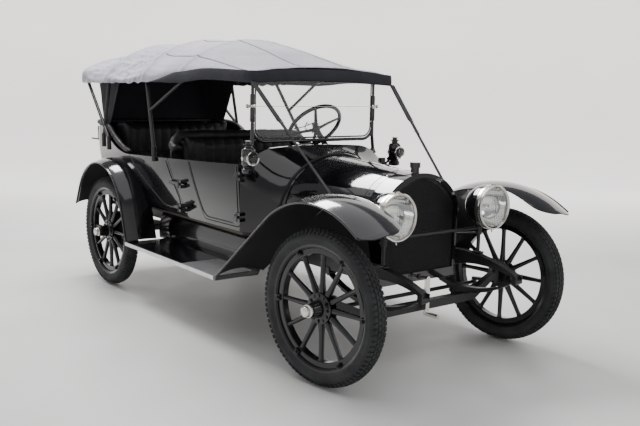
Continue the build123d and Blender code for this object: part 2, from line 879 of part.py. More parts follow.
def bonnet_face(x, top_z, bend, side_top):
    """The band of sheet that the left bonnet half shows at one station."""
    fall = top_z - bend[1]
    crown_radius = (bend[0] ** 2 + fall ** 2) / (2 * fall)
    edge_y = hinge_rod_radius + bonnet_hinge_gap
    with BuildSketch(Plane.YZ.offset(x)) as face:
        with BuildLine():
            crown = CenterArc(
                (0, top_z - crown_radius), crown_radius,
                degrees(acos(edge_y / crown_radius)), degrees(-asin(bend[0] / crown_radius) + asin(edge_y / crown_radius))
            )
            shoulder = TangentArc(crown @ 1, side_top, tangent=crown % 1)
            down = Line(shoulder @ 1, (side_top[0], bonnet_bottom_z))
            foot = Line(down @ 1, (side_top[0] - bonnet_sheet, bonnet_bottom_z))
            up = Line(foot @ 1, (side_top[0] - bonnet_sheet, side_top[1]))
            ratio = (crown_radius - bonnet_sheet) / crown_radius
            inner_bend = (bend[0] * ratio, top_z - crown_radius + (bend[1] - top_z + crown_radius) * ratio)
            inner_edge = (edge_y, (crown @ 0).Y - bonnet_sheet)
            inner_shoulder = ThreePointArc(
                up @ 1,
                ((shoulder @ 0.5).X - bonnet_sheet * 0.8, (shoulder @ 0.5).Y - bonnet_sheet * 0.6),
                inner_bend,
            )
            inner = ThreePointArc(
                inner_bend,
                ((crown @ 0.5).X * ratio, top_z - crown_radius + ((crown @ 0.5).Y - top_z + crown_radius) * ratio),
                inner_edge,
            )
            Line(inner_edge, crown @ 0)
        make_face()
    return face.sketch


def bonnet():
    """The left half of the bonnet, between the cowl and the radiator."""
    with BuildPart() as half:
        add(bonnet_face(bonnet_rear_x + moving_gap, bonnet_rear_top_z, bonnet_rear_bend, bonnet_rear_side))
        add(bonnet_face(radiator_rear_x - moving_gap, bonnet_front_top_z, bonnet_front_bend, bonnet_front_side))
        loft(ruled=True)
    return half.part


# Cowl sections: station, crown height, end of the crown's arc, end of the shoulder's arc
cowl_rear_top_z = 1160
cowl_mid_x = 612
cowl_sections = (
    (bonnet_rear_x, bonnet_rear_top_z, bonnet_rear_bend, bonnet_rear_side),
    (cowl_mid_x, 1126, (290, 1078), (505, 880)),
    (body_front_x, cowl_rear_top_z, (345, 1148), (588, 940)),
)


def cowl_solid(inset, front_x, rear_x):
    """The cowl as a solid, drawn in by an inset and carried out past its ends."""
    with BuildPart() as solid:
        for x, top_z, bend, side_top in cowl_sections:
            station = front_x if x == bonnet_rear_x else rear_x if x == body_front_x else x
            with BuildSketch(Plane.YZ.offset(station)):
                add(arch_outline(top_z - inset, (bend[0] - inset / 2, bend[1] - inset),
                                 (side_top[0] - inset, side_top[1] - inset / 2), body_sill_z))
        loft()
    return solid.part


def cowl():
    """The cowl that flares from the bonnet to the body, its firewall and the bonnet's hinge rod."""
    wall = 2 * sheet
    rear = cowl_sections[2]
    ledge = belt_front_z + moving_gap
    with BuildPart() as hood:
        for inset, amount, mode in ((0, body_front_x - cowl_rear_x, Mode.ADD),
                                    (wall, body_front_x - cowl_rear_x + overrun, Mode.SUBTRACT)):
            with BuildSketch(Plane.YZ.offset(body_front_x)):
                add(arch_outline(rear[1] - inset, (rear[2][0] - inset / 2, rear[2][1] - inset),
                                 (rear[3][0] - inset, rear[3][1] - inset / 2), body_sill_z))
            extrude(amount=-amount, mode=mode)
        add(block((0, -fender_outer_y, 0), (engine_front_x, fender_outer_y, ledge)), mode=Mode.SUBTRACT)
    with BuildPart() as piece:
        add(cowl_solid(0, bonnet_rear_x, body_front_x))
        add(cowl_solid(wall, bonnet_rear_x - wall, body_front_x - overrun), mode=Mode.SUBTRACT)
        add(block((body_front_x - 2 * overrun, -fender_outer_y, 0), (body_front_x, fender_outer_y, body_top_z)),
            mode=Mode.SUBTRACT)
        add(hood.part)
        add(rod(column_foot, wheel_centre, firewall_hole_radius), mode=Mode.SUBTRACT)
        add(rod((bonnet_rear_x - wall, 0, bonnet_rear_top_z - bonnet_sheet / 2),
                (radiator_rear_x - seat_clearance, 0, bonnet_front_top_z - bonnet_sheet / 2), hinge_rod_radius))
        add(door_hinges("front")[0])
        add(flipped(door_hinges("front")[0]))
    return piece.part


def cowl_height(y):
    """The height of the cowl's rear edge at a distance from the middle plane."""
    x, top_z, (bend_y, bend_z), (side_y, side_z) = cowl_sections[2]
    fall = top_z - bend_z
    slope = asin(bend_y / ((bend_y ** 2 + fall ** 2) / (2 * fall)))
    chord = atan2(bend_z - side_z, side_y - bend_y)
    length = hypot(side_y - bend_y, bend_z - side_z)
    radius = length / (2 * sin(chord - slope))
    centre_y = bend_y - radius * sin(slope)
    centre_z = bend_z - radius * cos(slope)
    return centre_z + sqrt(radius ** 2 - (y - centre_y) ** 2)


# Body outline at three levels: height, half widths at the front, middle and rear, and rear end
body_levels = (
    (body_sill_z, 572, 582, 540, -1600),
    (body_waist_z, 590, 632, 590, -1690),
    (body_top_z + overrun, 594, 650, 590, -1727),
)


def body_face(z, front_y, mid_y, rear_y, rear_x, inset, front_x):
    """The body's plan outline at one level, drawn in by an inset."""
    with BuildSketch(Plane.XY.offset(z)) as face:
        with BuildLine():
            end_x = rear_x + inset
            left = ThreePointArc((front_x, front_y - inset), (body_mid_x, mid_y - inset), (end_x, rear_y - inset))
            right = ThreePointArc((front_x, inset - front_y), (body_mid_x, inset - mid_y), (end_x, inset - rear_y))
            Line(left @ 1, right @ 1)
            Line(left @ 0, right @ 0)
        make_face()
        fillet(face.vertices().group_by(Axis.X)[0], radius=body_corner_radius - inset)
    return face.sketch


def body_solid(grow):
    """The body's outer form as one solid, grown by a clearance, for what seats against it."""
    with BuildPart() as solid:
        for level in body_levels:
            add(body_face(*level, -grow, body_front_x))
        loft()
    return solid.part


def above_belt():
    """Everything above the body's belt line, as a block to cut with."""
    with BuildPart() as upper:
        with BuildSketch(Plane.XZ.offset(-fender_outer_y)):
            with BuildLine():
                belt = Line((body_front_x + overrun, belt_front_z), (belt_low_x, belt_low_z))
                rise = TangentArc(belt @ 1, (belt_rise_x, belt_rise_z), tangent=belt % 1)
                back = Line(rise @ 1, (rear_end_x - overrun, belt_rear_z))
                roof = 2 * body_top_z
                Line(back @ 1, (rear_end_x - overrun, roof))
                Line((rear_end_x - overrun, roof), (body_front_x + overrun, roof))
                Line((body_front_x + overrun, roof), belt @ 0)
            make_face()
        extrude(amount=2 * fender_outer_y)
    return upper.part


def body_below_belt(grow):
    """The grown body's form up to its belt line, for what is bolted to its walls."""
    with BuildPart() as solid:
        add(body_solid(grow))
        add(above_belt(), mode=Mode.SUBTRACT)
    return solid.part


def body_shell():
    """The whole wall of the body, before doors are cut: sides, corners and back."""
    outer_form = body_solid(0)
    with BuildPart() as inner:
        for level in body_levels:
            add(body_face(*level, body_wall, body_front_x + overrun))
        loft()
    with BuildPart() as wall:
        add(outer_form)
        add(inner.part, mode=Mode.SUBTRACT)
        add(above_belt(), mode=Mode.SUBTRACT)
    return wall.part


rear_end_x = -1727


def front_door_outline(grow):
    """The front door's outline seen from the side, grown by a gap."""
    with BuildSketch(Plane.XZ) as outline:
        with BuildLine():
            slant = (front_door_bottom_x - front_door_top_x) / (belt_front_z - door_bottom_z)
            top = body_top_z
            Polyline(
                (front_door_front_x, top),
                (front_door_front_x, door_bottom_z),
                (front_door_bottom_x, door_bottom_z),
                (front_door_bottom_x - slant * (top - door_bottom_z), top),
                close=True,
            )
        make_face()
        fillet(outline.vertices().group_by(Axis.Y)[0], radius=body_wall)
        if grow:
            offset(amount=grow)
    return outline.sketch_local


def rear_door_outline(grow):
    """The rear door's outline seen from the side, grown by a gap."""
    with BuildSketch(Plane.XZ) as outline:
        with BuildLine():
            top = body_top_z
            slant = (rear_door_front_x - rear_door_front_top_x) / (belt_front_z - door_bottom_z)
            front_top = rear_door_front_x - slant * (top - door_bottom_z)
            fender = ThreePointArc(
                (rear_door_bottom_x, door_bottom_z),
                ((rear_door_bottom_x + rear_door_fender_x) / 2, (door_bottom_z + rear_door_fender_z) / 2 + body_wall / 3),
                (rear_door_fender_x, rear_door_fender_z),
            )
            Polyline(
                fender @ 1,
                (rear_door_rear_x, belt_low_z),
                (rear_door_rear_x, top),
                (front_top, top),
                (rear_door_front_x, door_bottom_z),
                fender @ 0,
            )
        make_face()
        if grow:
            offset(amount=grow)
    return outline.sketch_local


def body_half_width(x, z):
    """The body's half width at a station and height, between its levels."""
    widths = []
    for level_z, front_y, mid_y, rear_y, rear_x in body_levels:
        end_x, end_y = (body_front_x, front_y) if x > body_mid_x else (rear_x, rear_y)
        share = (x - body_mid_x) / (end_x - body_mid_x)
        widths.append((level_z, mid_y + (end_y - mid_y) * share ** 2))
    (low_z, low_y), (mid_z, mid_y), (top_z, top_y) = widths
    if z < mid_z:
        return low_y + (mid_y - low_y) * (z - low_z) / (mid_z - low_z)
    return mid_y + (top_y - mid_y) * (z - mid_z) / (top_z - mid_z)


def hinge(x, y, z, post_reach, door_reach):
    """One door hinge on the car's right: the post's half with the pin, and the door's half."""
    third = door_hinge_height / 3
    skin_y = max(body_half_width(x + post_reach, z), body_half_width(x - door_reach, z))
    inner_y = min(body_half_width(x + post_reach, z), body_half_width(x - door_reach, z)) - 2 * sheet
    with BuildPart() as fixed:
        add(rod((x, -y, z - door_hinge_height / 2), (x, -y, z + door_hinge_height / 2), door_pin_radius))
        for low in (z - door_hinge_height / 2, z + third / 2):
            add(rod((x, -y, low), (x, -y, low + third), door_hinge_radius))
            add(block((x, -y - door_pin_radius, low), (x + post_reach, -skin_y - seat_clearance, low + third)))
            add(block((x + post_reach - door_hinge_radius, -y - door_pin_radius, low),
                      (x + post_reach, -inner_y, low + third)))
    with BuildPart() as moving:
        low = z - third / 2 + seat_clearance
        high = z + third / 2 - seat_clearance
        add(rod((x, -y, low), (x, -y, high), door_hinge_radius))
        add(block((x - door_reach, -y - door_pin_radius, low), (x, -skin_y - 1.5 * moving_gap, high)))
        add(block((x - door_reach, -y - door_pin_radius, low), (x - door_reach + 2 * door_hinge_radius, -inner_y, high)))
        add(rod((x, -y, low - third), (x, -y, high + third), door_pin_radius + running_clearance),
            mode=Mode.SUBTRACT)
    return fixed.part, moving.part


def door_hinges(place):
    """The two halves of both hinges of a right-hand door, as (fixed, moving)."""
    x, y, rows = {
        "front": (front_hinge_x, front_hinge_y, front_hinge_rows),
        "rear": (rear_hinge_x, rear_hinge_y, rear_hinge_rows),
    }[place]
    with BuildPart() as fixed:
        for z, post_reach, door_reach in rows:
            add(hinge(x, y, z, post_reach, door_reach)[0])
    with BuildPart() as moving:
        for z, post_reach, door_reach in rows:
            add(hinge(x, y, z, post_reach, door_reach)[1])
    return fixed.part, moving.part


def across(outline):
    """A side outline made into a prism across the car's right half."""
    with BuildPart() as prism:
        with BuildSketch(Plane.XZ):
            add(outline)
        extrude(amount=fender_outer_y)
    return prism.part


def side_panels():
    """Both body sides, the rear tub and the four doors, all cut from the one wall."""
    shell = body_shell()
    tub_x = rear_door_rear_x - body_wall
    right_half = block((tub_x, -fender_outer_y, 0), (body_front_x + overrun, 0, 2 * body_top_z))
    rear_end = block((rear_end_x - overrun, -fender_outer_y, 0), (tub_x, fender_outer_y, 2 * body_top_z))
    with BuildPart() as sides:
        add(shell)
        add(right_half, mode=Mode.INTERSECT)
        add(across(front_door_outline(door_gap)), mode=Mode.SUBTRACT)
        add(across(rear_door_outline(door_gap)), mode=Mode.SUBTRACT)
        add(door_hinges("front")[0], mode=Mode.SUBTRACT)
        add(door_hinges("rear")[0])
    save(sides.part, "body_side_right")
    save(flipped(sides.part), "body_side_left")
    with BuildPart() as tub:
        add(shell)
        add(rear_end, mode=Mode.INTERSECT)
    save(tub.part, "rear_tub")
    for name, outline in (("front", front_door_outline(0)), ("rear", rear_door_outline(0))):
        with BuildPart() as door:
            add(shell)
            add(across(outline), mode=Mode.INTERSECT)
            add(door_hinges(name)[1])
        save(door.part, f"door_{name}_right")
        save(flipped(door.part), f"door_{name}_left")


def build_floor():
    """Floor boards between the body walls, with the toe board and the front seat's box."""
    with BuildPart() as floor:
        low_z = rail_top_z + seat_clearance
        with BuildSketch(Plane.XY.offset(body_sill_z - floor_thickness)):
            with BuildLine():
                Polyline(
                    (bonnet_rear_x - 2 * overrun, -bonnet_rear_side[0]),
                    (body_front_x, -body_levels[0][1] + moving_gap),
                    (rear_end_x + 6 * overrun, -body_levels[0][3] + moving_gap),
                    (rear_end_x + 6 * overrun, body_levels[0][3] - moving_gap),
                    (body_front_x, body_levels[0][1] - moving_gap),
                    (bonnet_rear_x - 2 * overrun, bonnet_rear_side[0]),
                    close=True,
                )
            make_face()
        extrude(amount=floor_thickness)
        for side in (-1, 1):
            add(block((rear_end_x + 6 * overrun, side * rail_y - rail_width / 2, low_z),
                      (bonnet_rear_x - 2 * overrun, side * rail_y + rail_width / 2, body_sill_z)))
    return floor.part


# Fender side profiles: start point, heading in degrees, first run, arc radius and turn, last run, end curl
front_fender_path = ((585, 402), 38.5, 662, 640, 69.5, 62, (95, 46))
rear_fender_path = ((-1616, 571), 62, 150, 432, 134, 238, None)
fender_nose_radius = 120
fender_waist_x = 1450
fender_waist_y = 514
fender_waist_end_x = 1620


def fender(start, heading, run, radius, turn, tail, curl, inner_y, crown):
    """One crowned fender strip, its section swept along a straight, an arc and a straight."""
    width = fender_outer_y - inner_y
    with BuildPart() as strip:
        with BuildLine(Plane.XZ) as path:
            first = PolarLine(start, run, heading)
            arch = JernArc(first @ 1, first % 1, radius, -turn)
            last = PolarLine(arch @ 1, tail, heading - turn)
            if curl:
                JernArc(last @ 1, last % 1, curl[0], -curl[1])
        with BuildSketch(Plane(origin=path.line @ 0, x_dir=(0, 1, 0), z_dir=path.line % 0)):
            with BuildLine():
                outer = ThreePointArc((inner_y, 0), (inner_y + width / 2, crown), (fender_outer_y, 0))
                lip = Line(outer @ 1, (fender_outer_y - sheet, -sheet))
                inner = ThreePointArc(
                    lip @ 1, (inner_y + width / 2, crown - sheet), (inner_y + sheet, -sheet)
                )
                Line(inner @ 1, outer @ 0)
            make_face()
            with Locations((fender_outer_y - fender_bead_radius / 2, 0)):
                Circle(fender_bead_radius)
        sweep(path=path.line)
    return strip.part


def fender_height(x):
    """The height of the front fender's side profile at a station."""
    (x0, z0), heading, run, radius, turn, tail, curl = front_fender_path
    slope = radians(heading)
    knee_x = x0 + run * cos(slope)
    if x <= knee_x:
        return z0 + (x - x0) * sin(slope) / cos(slope)
    centre_x = knee_x + radius * sin(slope)
    centre_z = z0 + run * sin(slope) - radius * cos(slope)
    return centre_z + sqrt(radius ** 2 - (x - centre_x) ** 2)


def plan_nose(points):
    """The two front corners of the fender's plan outline."""
    return points.sort_by(Axis.X)[-2:]


def front_fenders():
    """Crowned front fenders with rounded noses, and the valances between them and the frame."""
    strip = fender(*front_fender_path, front_fender_inner_y, fender_crown)
    nose_x = front_extreme_x
    with BuildPart() as plan:
        with BuildSketch():
            with BuildLine():
                Polyline(
                    (board_front_x - fender_waist_y, front_fender_inner_y - overrun),
                    (fender_waist_x, front_fender_inner_y - overrun),
                    (fender_waist_end_x, fender_waist_y),
                    (nose_x, fender_waist_y),
                    (nose_x, fender_outer_y + overrun),
                    (board_front_x - fender_waist_y, fender_outer_y + overrun),
                    close=True,
                )
            make_face()
            fillet(plan_nose(vertices()), radius=fender_nose_radius)
        extrude(amount=body_top_z)
    stations = (650, 900, 1103, 1250, 1400, radiator_front_x + rail_width / 2)
    with BuildPart() as valance:
        for x in stations:
            rim_z = fender_height(x) - sheet
            with BuildSketch(Plane.YZ.offset(x)):
                with BuildLine():
                    foot_y = rail_y + rail_width / 2
                    Polyline(
                        (foot_y, rail_top_z),
                        (foot_y + sheet, rail_top_z),
                        (front_fender_inner_y + sheet, rim_z),
                        (front_fender_inner_y, rim_z),
                        close=True,
                    )
                make_face()
        loft(ruled=True)
    with BuildPart() as pair:
        add(strip)
        add(plan.part, mode=Mode.INTERSECT)
        add(valance.part)
    return mirrored(pair.part)


def rear_fenders():
    """Crowned rear fenders, fitted against the body's sides."""
    strip = fender(*rear_fender_path, rear_fender_inner_y, fender_crown)
    with BuildPart() as pair:
        add(strip)
        add(body_solid(seat_clearance), mode=Mode.SUBTRACT)
    return mirrored(pair.part)


def running_boards():
    """The running boards and the aprons that rise from them to the body's sills."""
    with BuildPart() as board:
        add(block((board_rear_x, board_inner_y, board_top_z - board_thickness),
                  (board_front_x, fender_outer_y, board_top_z)))
        add(block((mat_rear_x, board_inner_y + 2 * board_thickness, board_top_z - sheet),
                  (mat_front_x, fender_outer_y - board_trim_width, board_top_z + sheet)))
        with BuildSketch(Plane.YZ.offset(apron_rear_x)):
            with BuildLine():
                low = (board_inner_y, board_top_z)
                high = (apron_top_y, apron_top_z)
                bulge = (board_inner_y + sheet, (board_top_z + apron_top_z) / 2)
                outer = ThreePointArc(low, bulge, high)
                edge = Line(outer @ 1, (high[0] - sheet, high[1]))
                inner = ThreePointArc(edge @ 1, (bulge[0] - sheet, bulge[1]), (low[0] - sheet, low[1]))
                Line(inner @ 1, outer @ 0)
            make_face()
        extrude(amount=apron_front_x - apron_rear_x)
    return mirrored(board.part)


def board_trim():
    """The bright edging along each running board and the ribbed step plate."""
    with BuildPart() as trim:
        edge_y = fender_outer_y + seat_clearance
        add(block((board_rear_x, edge_y, board_top_z - board_thickness),
                  (board_front_x - board_thickness, edge_y + sheet, board_top_z + sheet)))
        add(block((mat_front_x + seat_clearance, board_inner_y + 2 * board_thickness, board_top_z + seat_clearance),
                  (board_front_x - board_thickness, edge_y, board_top_z + sheet)))
    return mirrored(trim.part)


def lamps():
    """Headlamp shells with the bar between them, their rims and their lenses."""
    nose = -lamp_rim_width - seat_clearance
    with BuildPart() as shell:
        with BuildSketch(Plane.XZ):
            with BuildLine():
                barrel = Line((nose, lamp_radius - sheet), (nose - lamp_depth / 3, lamp_radius - sheet))
                dome = ThreePointArc(
                    barrel @ 1, (nose - lamp_depth * 0.8, lamp_radius * 0.6), (nose - lamp_depth, 0)
                )
                axle = Line(dome @ 1, (nose - lamp_depth + 2 * sheet, 0))
                inside = ThreePointArc(
                    axle @ 1,
                    (nose - lamp_depth * 0.8 + 2 * sheet, lamp_radius * 0.6 - 2 * sheet),
                    (nose - lamp_depth / 3, lamp_radius - 3 * sheet),
                )
                mouth = Line(inside @ 1, (nose, lamp_radius - 3 * sheet))
                Line(mouth @ 1, barrel @ 0)
            make_face()
        revolve(axis=Axis.X)
    with BuildPart() as rim:
        with BuildSketch(Plane.XZ):
            with Locations((-lamp_rim_width / 2, lamp_radius - sheet)):
                Rectangle(lamp_rim_width, 2 * sheet)
            with Locations((-sheet, lamp_radius - 2 * sheet)):
                Rectangle(2 * sheet, 5 * sheet)
        revolve(axis=Axis.X)
    with BuildPart() as lens:
        with BuildSketch(Plane.YZ.offset(-2 * sheet - lamp_glass_thickness - seat_clearance)):
            Circle(lamp_radius - 2 * sheet - seat_clearance)
        extrude(amount=lamp_glass_thickness)
    places = [(lamp_x, side * lamp_y, lamp_z) for side in (-1, 1)]
    stem_x = lamp_x - lamp_depth * 0.6
    with BuildPart() as shells:
        with Locations(*places):
            add(shell.part)
        for side in (-1, 1):
            add(rod((stem_x, side * lamp_y, lamp_stem_foot_z),
                    (stem_x, side * lamp_y, lamp_z - lamp_radius + 2 * sheet), lamp_bar_radius))
        add(rod((stem_x, -lamp_y, lamp_bar_z - lamp_radius / 2), (stem_x, lamp_y, lamp_bar_z - lamp_radius / 2),
                lamp_bar_radius * 0.8))
    with BuildPart() as rims:
        with Locations(*places):
            add(rim.part)
    with BuildPart() as glasses:
        with Locations(*places):
            add(lens.part)
    return shells.part, rims.part, glasses.part


def side_lamps():
    """The two side lamps on the cowl."""
    with BuildPart() as lamp:
        with BuildSketch(Plane.XY.offset(side_lamp_z - side_lamp_height / 2)):
            with Locations((side_lamp_x, side_lamp_y)):
                Circle(side_lamp_radius)
        extrude(amount=side_lamp_height)
        with BuildSketch(Plane.XY.offset(side_lamp_z + side_lamp_height / 2)):
            with Locations((side_lamp_x, side_lamp_y)):
                Circle(side_lamp_radius * 0.6)
        extrude(amount=side_lamp_radius)
        add(rod((side_lamp_x - side_lamp_radius, side_lamp_y, side_lamp_z),
                (side_lamp_x + side_lamp_radius * 1.4, side_lamp_y, side_lamp_z), side_lamp_radius * 0.8))
        add(rod((side_lamp_x, side_lamp_y, side_lamp_z - side_lamp_height / 2),
                (side_lamp_x - side_lamp_radius, side_lamp_y - 2 * side_lamp_radius, side_lamp_z - side_lamp_height), lamp_bar_radius))
        add(cowl_solid(-seat_clearance, bonnet_rear_x, body_front_x), mode=Mode.SUBTRACT)
    return mirrored(lamp.part)


def windscreen():
    """The windscreen's posts, its two framed panes and the brackets on the cowl."""
    half = screen_half_width
    tube = screen_tube_radius
    with BuildPart() as tubes:
        for side in (-1, 1):
            foot_z = cowl_height(half + tube) + seat_clearance
            add(rod((screen_x, side * half, foot_z), (screen_x, side * half, screen_top_z + tube), tube))
            add(rod((screen_x, side * half, foot_z), (screen_x, side * half, foot_z + 3 * tube), 1.7 * tube))
        for z, share in ((screen_bottom_z, 0.9), (screen_mid_z, 0.3), (screen_top_z, 0.5)):
            add(rod((screen_x, -half, z), (screen_x, half, z), tube * share))
        for side in (-1, 1):
            add(rod((screen_x, side * (half - tube), screen_mid_z), (screen_x, side * (half + 3 * tube), screen_mid_z),
                    1.4 * tube))
        rear = cowl_sections[2]
        with BuildSketch(Plane.YZ.offset(cowl_rear_x - overrun)):
            add(arch_outline(rear[1] + screen_foot_gap, (rear[2][0], rear[2][1] + screen_foot_gap),
                             (rear[3][0] + screen_foot_gap, rear[3][1] + screen_foot_gap), body_sill_z))
        extrude(amount=body_front_x - cowl_rear_x + 2 * overrun, mode=Mode.SUBTRACT)
    with BuildPart() as panes:
        for low, high in ((screen_bottom_z, screen_mid_z), (screen_mid_z, screen_top_z)):
            inset = screen_tube_radius + seat_clearance
            add(block((screen_x - screen_glass_thickness / 2, inset - half, low + inset),
                      (screen_x + screen_glass_thickness / 2, half - inset, high - inset)))
    return tubes.part, panes.part


# Canopy sections: station, half width, hem height, shoulder height, crown height
canopy_sections = (
    (590, 560, 1560, 1608, 1650),
    (110, 596, 1575, 1640, 1790),
    (-224, 600, 1540, 1625, 1850),
    (-776, 602, 1540, 1600, 1868),
    (-1476, 602, 1530, 1580, 1858),
    (-1940, 600, 1530, 1630, 1775),
)


def canopy_face(x, half, hem, shoulder, crown, inset):
    """The canopy's arch at one bow, as a thin band of cloth."""
    with BuildSketch(Plane.YZ.offset(x)) as face:
        with BuildLine():
            thick = canopy_thickness
            left = Line((half, hem), (half, shoulder))
            over = ThreePointArc(left @ 1, (0, crown), (-half, shoulder))
            right = Line(over @ 1, (-half, hem))
            foot = Line(right @ 1, (thick - half, hem))
            up = Line(foot @ 1, (thick - half, shoulder))
            under = ThreePointArc(up @ 1, (0, crown - thick), (half - thick, shoulder))
            down = Line(under @ 1, (half - thick, hem))
            Line(down @ 1, left @ 0)
        make_face()
    return face.sketch


def under_canopy():
    """The space under the cloth top, for what ends against its inside."""
    with BuildPart() as space:
        for x, half, hem, shoulder, crown in canopy_sections:
            wall_y = half - canopy_thickness - seat_clearance
            with BuildSketch(Plane.YZ.offset(x)):
                with BuildLine():
                    over = ThreePointArc((wall_y, shoulder), (0, crown - canopy_thickness - seat_clearance),
                                         (-wall_y, shoulder))
                    Polyline(over @ 1, (-wall_y, 0), (wall_y, 0), over @ 0)
                make_face()
        loft(ruled=True)
    return space.part


def canopy():
    """The cloth top, stretched from bow to bow."""
    with BuildPart() as cloth:
        for section in canopy_sections:
            add(canopy_face(*section, 0))
        loft(ruled=True)
    return cloth.part


# Bows: foot station and height, top station, shoulder height, half width there, crown height
bow_table = (
    (-507, 1072, -830, 1606, 556, 1842),
    (-1339, 1094, -1918, 1545, 560, 1752),
    (-1456, 1110, -1474, 1562, 560, 1832),
)
branch_bow = (0.5, -224, 1570, 556, 1820)
front_bow = (575, 1580, 522, 1625)
bow_crown_radius = 11


def bow_crown(x, shoulder_z, half, crown_z):
    """The arched cross piece of a bow, with the corner fittings that join it to its legs."""
    with BuildPart() as arch:
        with BuildLine(Plane.YZ.offset(x)) as path:
            ThreePointArc((-half, shoulder_z), (0, crown_z), (half, shoulder_z))
        with BuildSketch(Plane(origin=path.line @ 0, z_dir=path.line % 0)):
            Circle(bow_crown_radius)
        sweep(path=path.line)
        for side in (-1, 1):
            fitting_y = side * (half - bow_radius * bow_fitting_share)
            add(rod((x, fitting_y, shoulder_z), (x, side * half + bow_radius * side, shoulder_z),
                    bow_radius * bow_fitting_share))
    return arch.part


def top_bows():
    """The bent bows that carry the top, with the sockets that bolt them to the body."""
    with BuildPart() as bows:
        for foot_x, foot_z, top_x, shoulder_z, half, crown_z in bow_table:
            foot_y = body_half_width(foot_x, foot_z) + bow_radius + seat_clearance
            add(bow_crown(top_x, shoulder_z, half, crown_z))
            for side in (-1, 1):
                add(rod((foot_x, side * foot_y, foot_z), (top_x, side * half, shoulder_z), bow_radius))
                add(rod((foot_x, side * foot_y, foot_z - 6 * bow_radius),
                        (foot_x, side * foot_y, foot_z + 2 * bow_radius), bow_radius * bow_fitting_share))
        foot_x, foot_z, top_x, shoulder_z, half, crown_z = bow_table[0]
        share, branch_x, branch_z, branch_half, branch_crown = branch_bow
        foot_y = body_half_width(foot_x, foot_z) + bow_radius + seat_clearance
        add(bow_crown(branch_x, branch_z, branch_half, branch_crown))
        front_x, front_z, front_half, front_crown = front_bow
        add(bow_crown(front_x, front_z, front_half, front_crown))
        for side in (-1, 1):
            joint = (foot_x + share * (top_x - foot_x), side * (foot_y + share * (half - foot_y)),
                     foot_z + share * (shoulder_z - foot_z))
            add(rod(joint, (branch_x, side * branch_half, branch_z), bow_crown_radius))
            add(rod((branch_x, side * branch_half, branch_z), (front_x, side * front_half, front_z), bow_crown_radius))
        add(body_below_belt(seat_clearance), mode=Mode.SUBTRACT)
    return bows.part


def top_rests():
    """The irons at the body's rear corners that carry the folded top."""
    with BuildPart() as irons:
        add(rod((rest_x, rest_y, rest_low_z), (rest_x, rest_y, rest_high_z), rest_radius))
        add(rod((rest_x, rest_y, rest_low_z), (rest_end_x, rest_y, rest_low_z), rest_radius * 0.95))
        add(rod((rest_x, rest_y, rest_high_z - rest_radius), (rest_x + rest_reach, rest_y - rest_reach / 2, rest_high_z - rest_radius),
                rest_radius * 0.9))
        add(body_below_belt(seat_clearance), mode=Mode.SUBTRACT)
    return mirrored(irons.part)


def back_curtain():
    """The cloth between the rear bow and the body's back edge."""
    with BuildPart() as curtain:
        with BuildSketch(Plane.XZ.offset(-curtain_half)):
            with BuildLine():
                low = (rear_end_x - curtain_lap / 2, belt_rear_z - curtain_lap)
                bend = (rear_end_x - curtain_lap / 2, belt_rear_z)
                high = (curtain_top_x, curtain_top_z)
                Polyline(low, bend, high, (high[0] + canopy_thickness, high[1]),
                         (bend[0] + curtain_lap, bend[1]), (low[0] + curtain_lap, low[1]), close=True)
            make_face()
        extrude(amount=2 * curtain_half)
        for side in (-1, 1):
            wing_y = side * (curtain_half - canopy_thickness / 2) - canopy_thickness / 2
            with BuildSketch(Plane.XZ.offset(wing_y)):
                with BuildLine():
                    Polyline(*wing_outline, close=True)
                make_face()
            extrude(amount=canopy_thickness)
        add(under_canopy(), mode=Mode.INTERSECT)
        for part_in_the_way in (body_below_belt(seat_clearance), top_bows()):
            add(part_in_the_way, mode=Mode.SUBTRACT)
    return curtain.part


def strap(side):
    """The strap from a front corner of the top down to the frame beside the radiator."""
    with BuildPart() as piece:
        top = (strap_top[0], side * strap_top[1], strap_top[2])
        foot = (strap_foot[0], side * strap_foot[1], strap_foot[2])
        add(rod(top, foot, strap_radius))
    return piece.part


def seats():
    """Front and rear seats: cushion and back of each, with their boxes."""
    upholstery = []
    for rear_x, back_x, front_x, half, box_half, seat_z, top_z, back_low_z, back_top_z in seat_table:
        with BuildPart() as seat:
            add(block((back_x + seat_clearance, -half, seat_z), (front_x, half, top_z)))
            add(block((rear_x, -half, back_low_z), (back_x, half, back_top_z - seat_roll_radius)))
            add(rod((back_x - seat_roll_radius, -half, back_top_z - seat_roll_radius),
                    (back_x - seat_roll_radius, half, back_top_z - seat_roll_radius), seat_roll_radius))
        upholstery.append(seat.part)
    with BuildPart() as boxes:
        for rear_x, back_x, front_x, half, box_half, seat_z, top_z, back_low_z, back_top_z in seat_table:
            add(block((back_x, -box_half, body_sill_z + seat_clearance),
                      (front_x - seat_overhang, box_half, seat_z - seat_clearance)))
        add(block((seat_table[0][0] - body_wall / 2, -seat_table[0][3], body_sill_z + seat_clearance),
                  (seat_table[0][0] - seat_clearance, seat_table[0][3], seat_panel_z)))
    return upholstery[0], upholstery[1], boxes.part


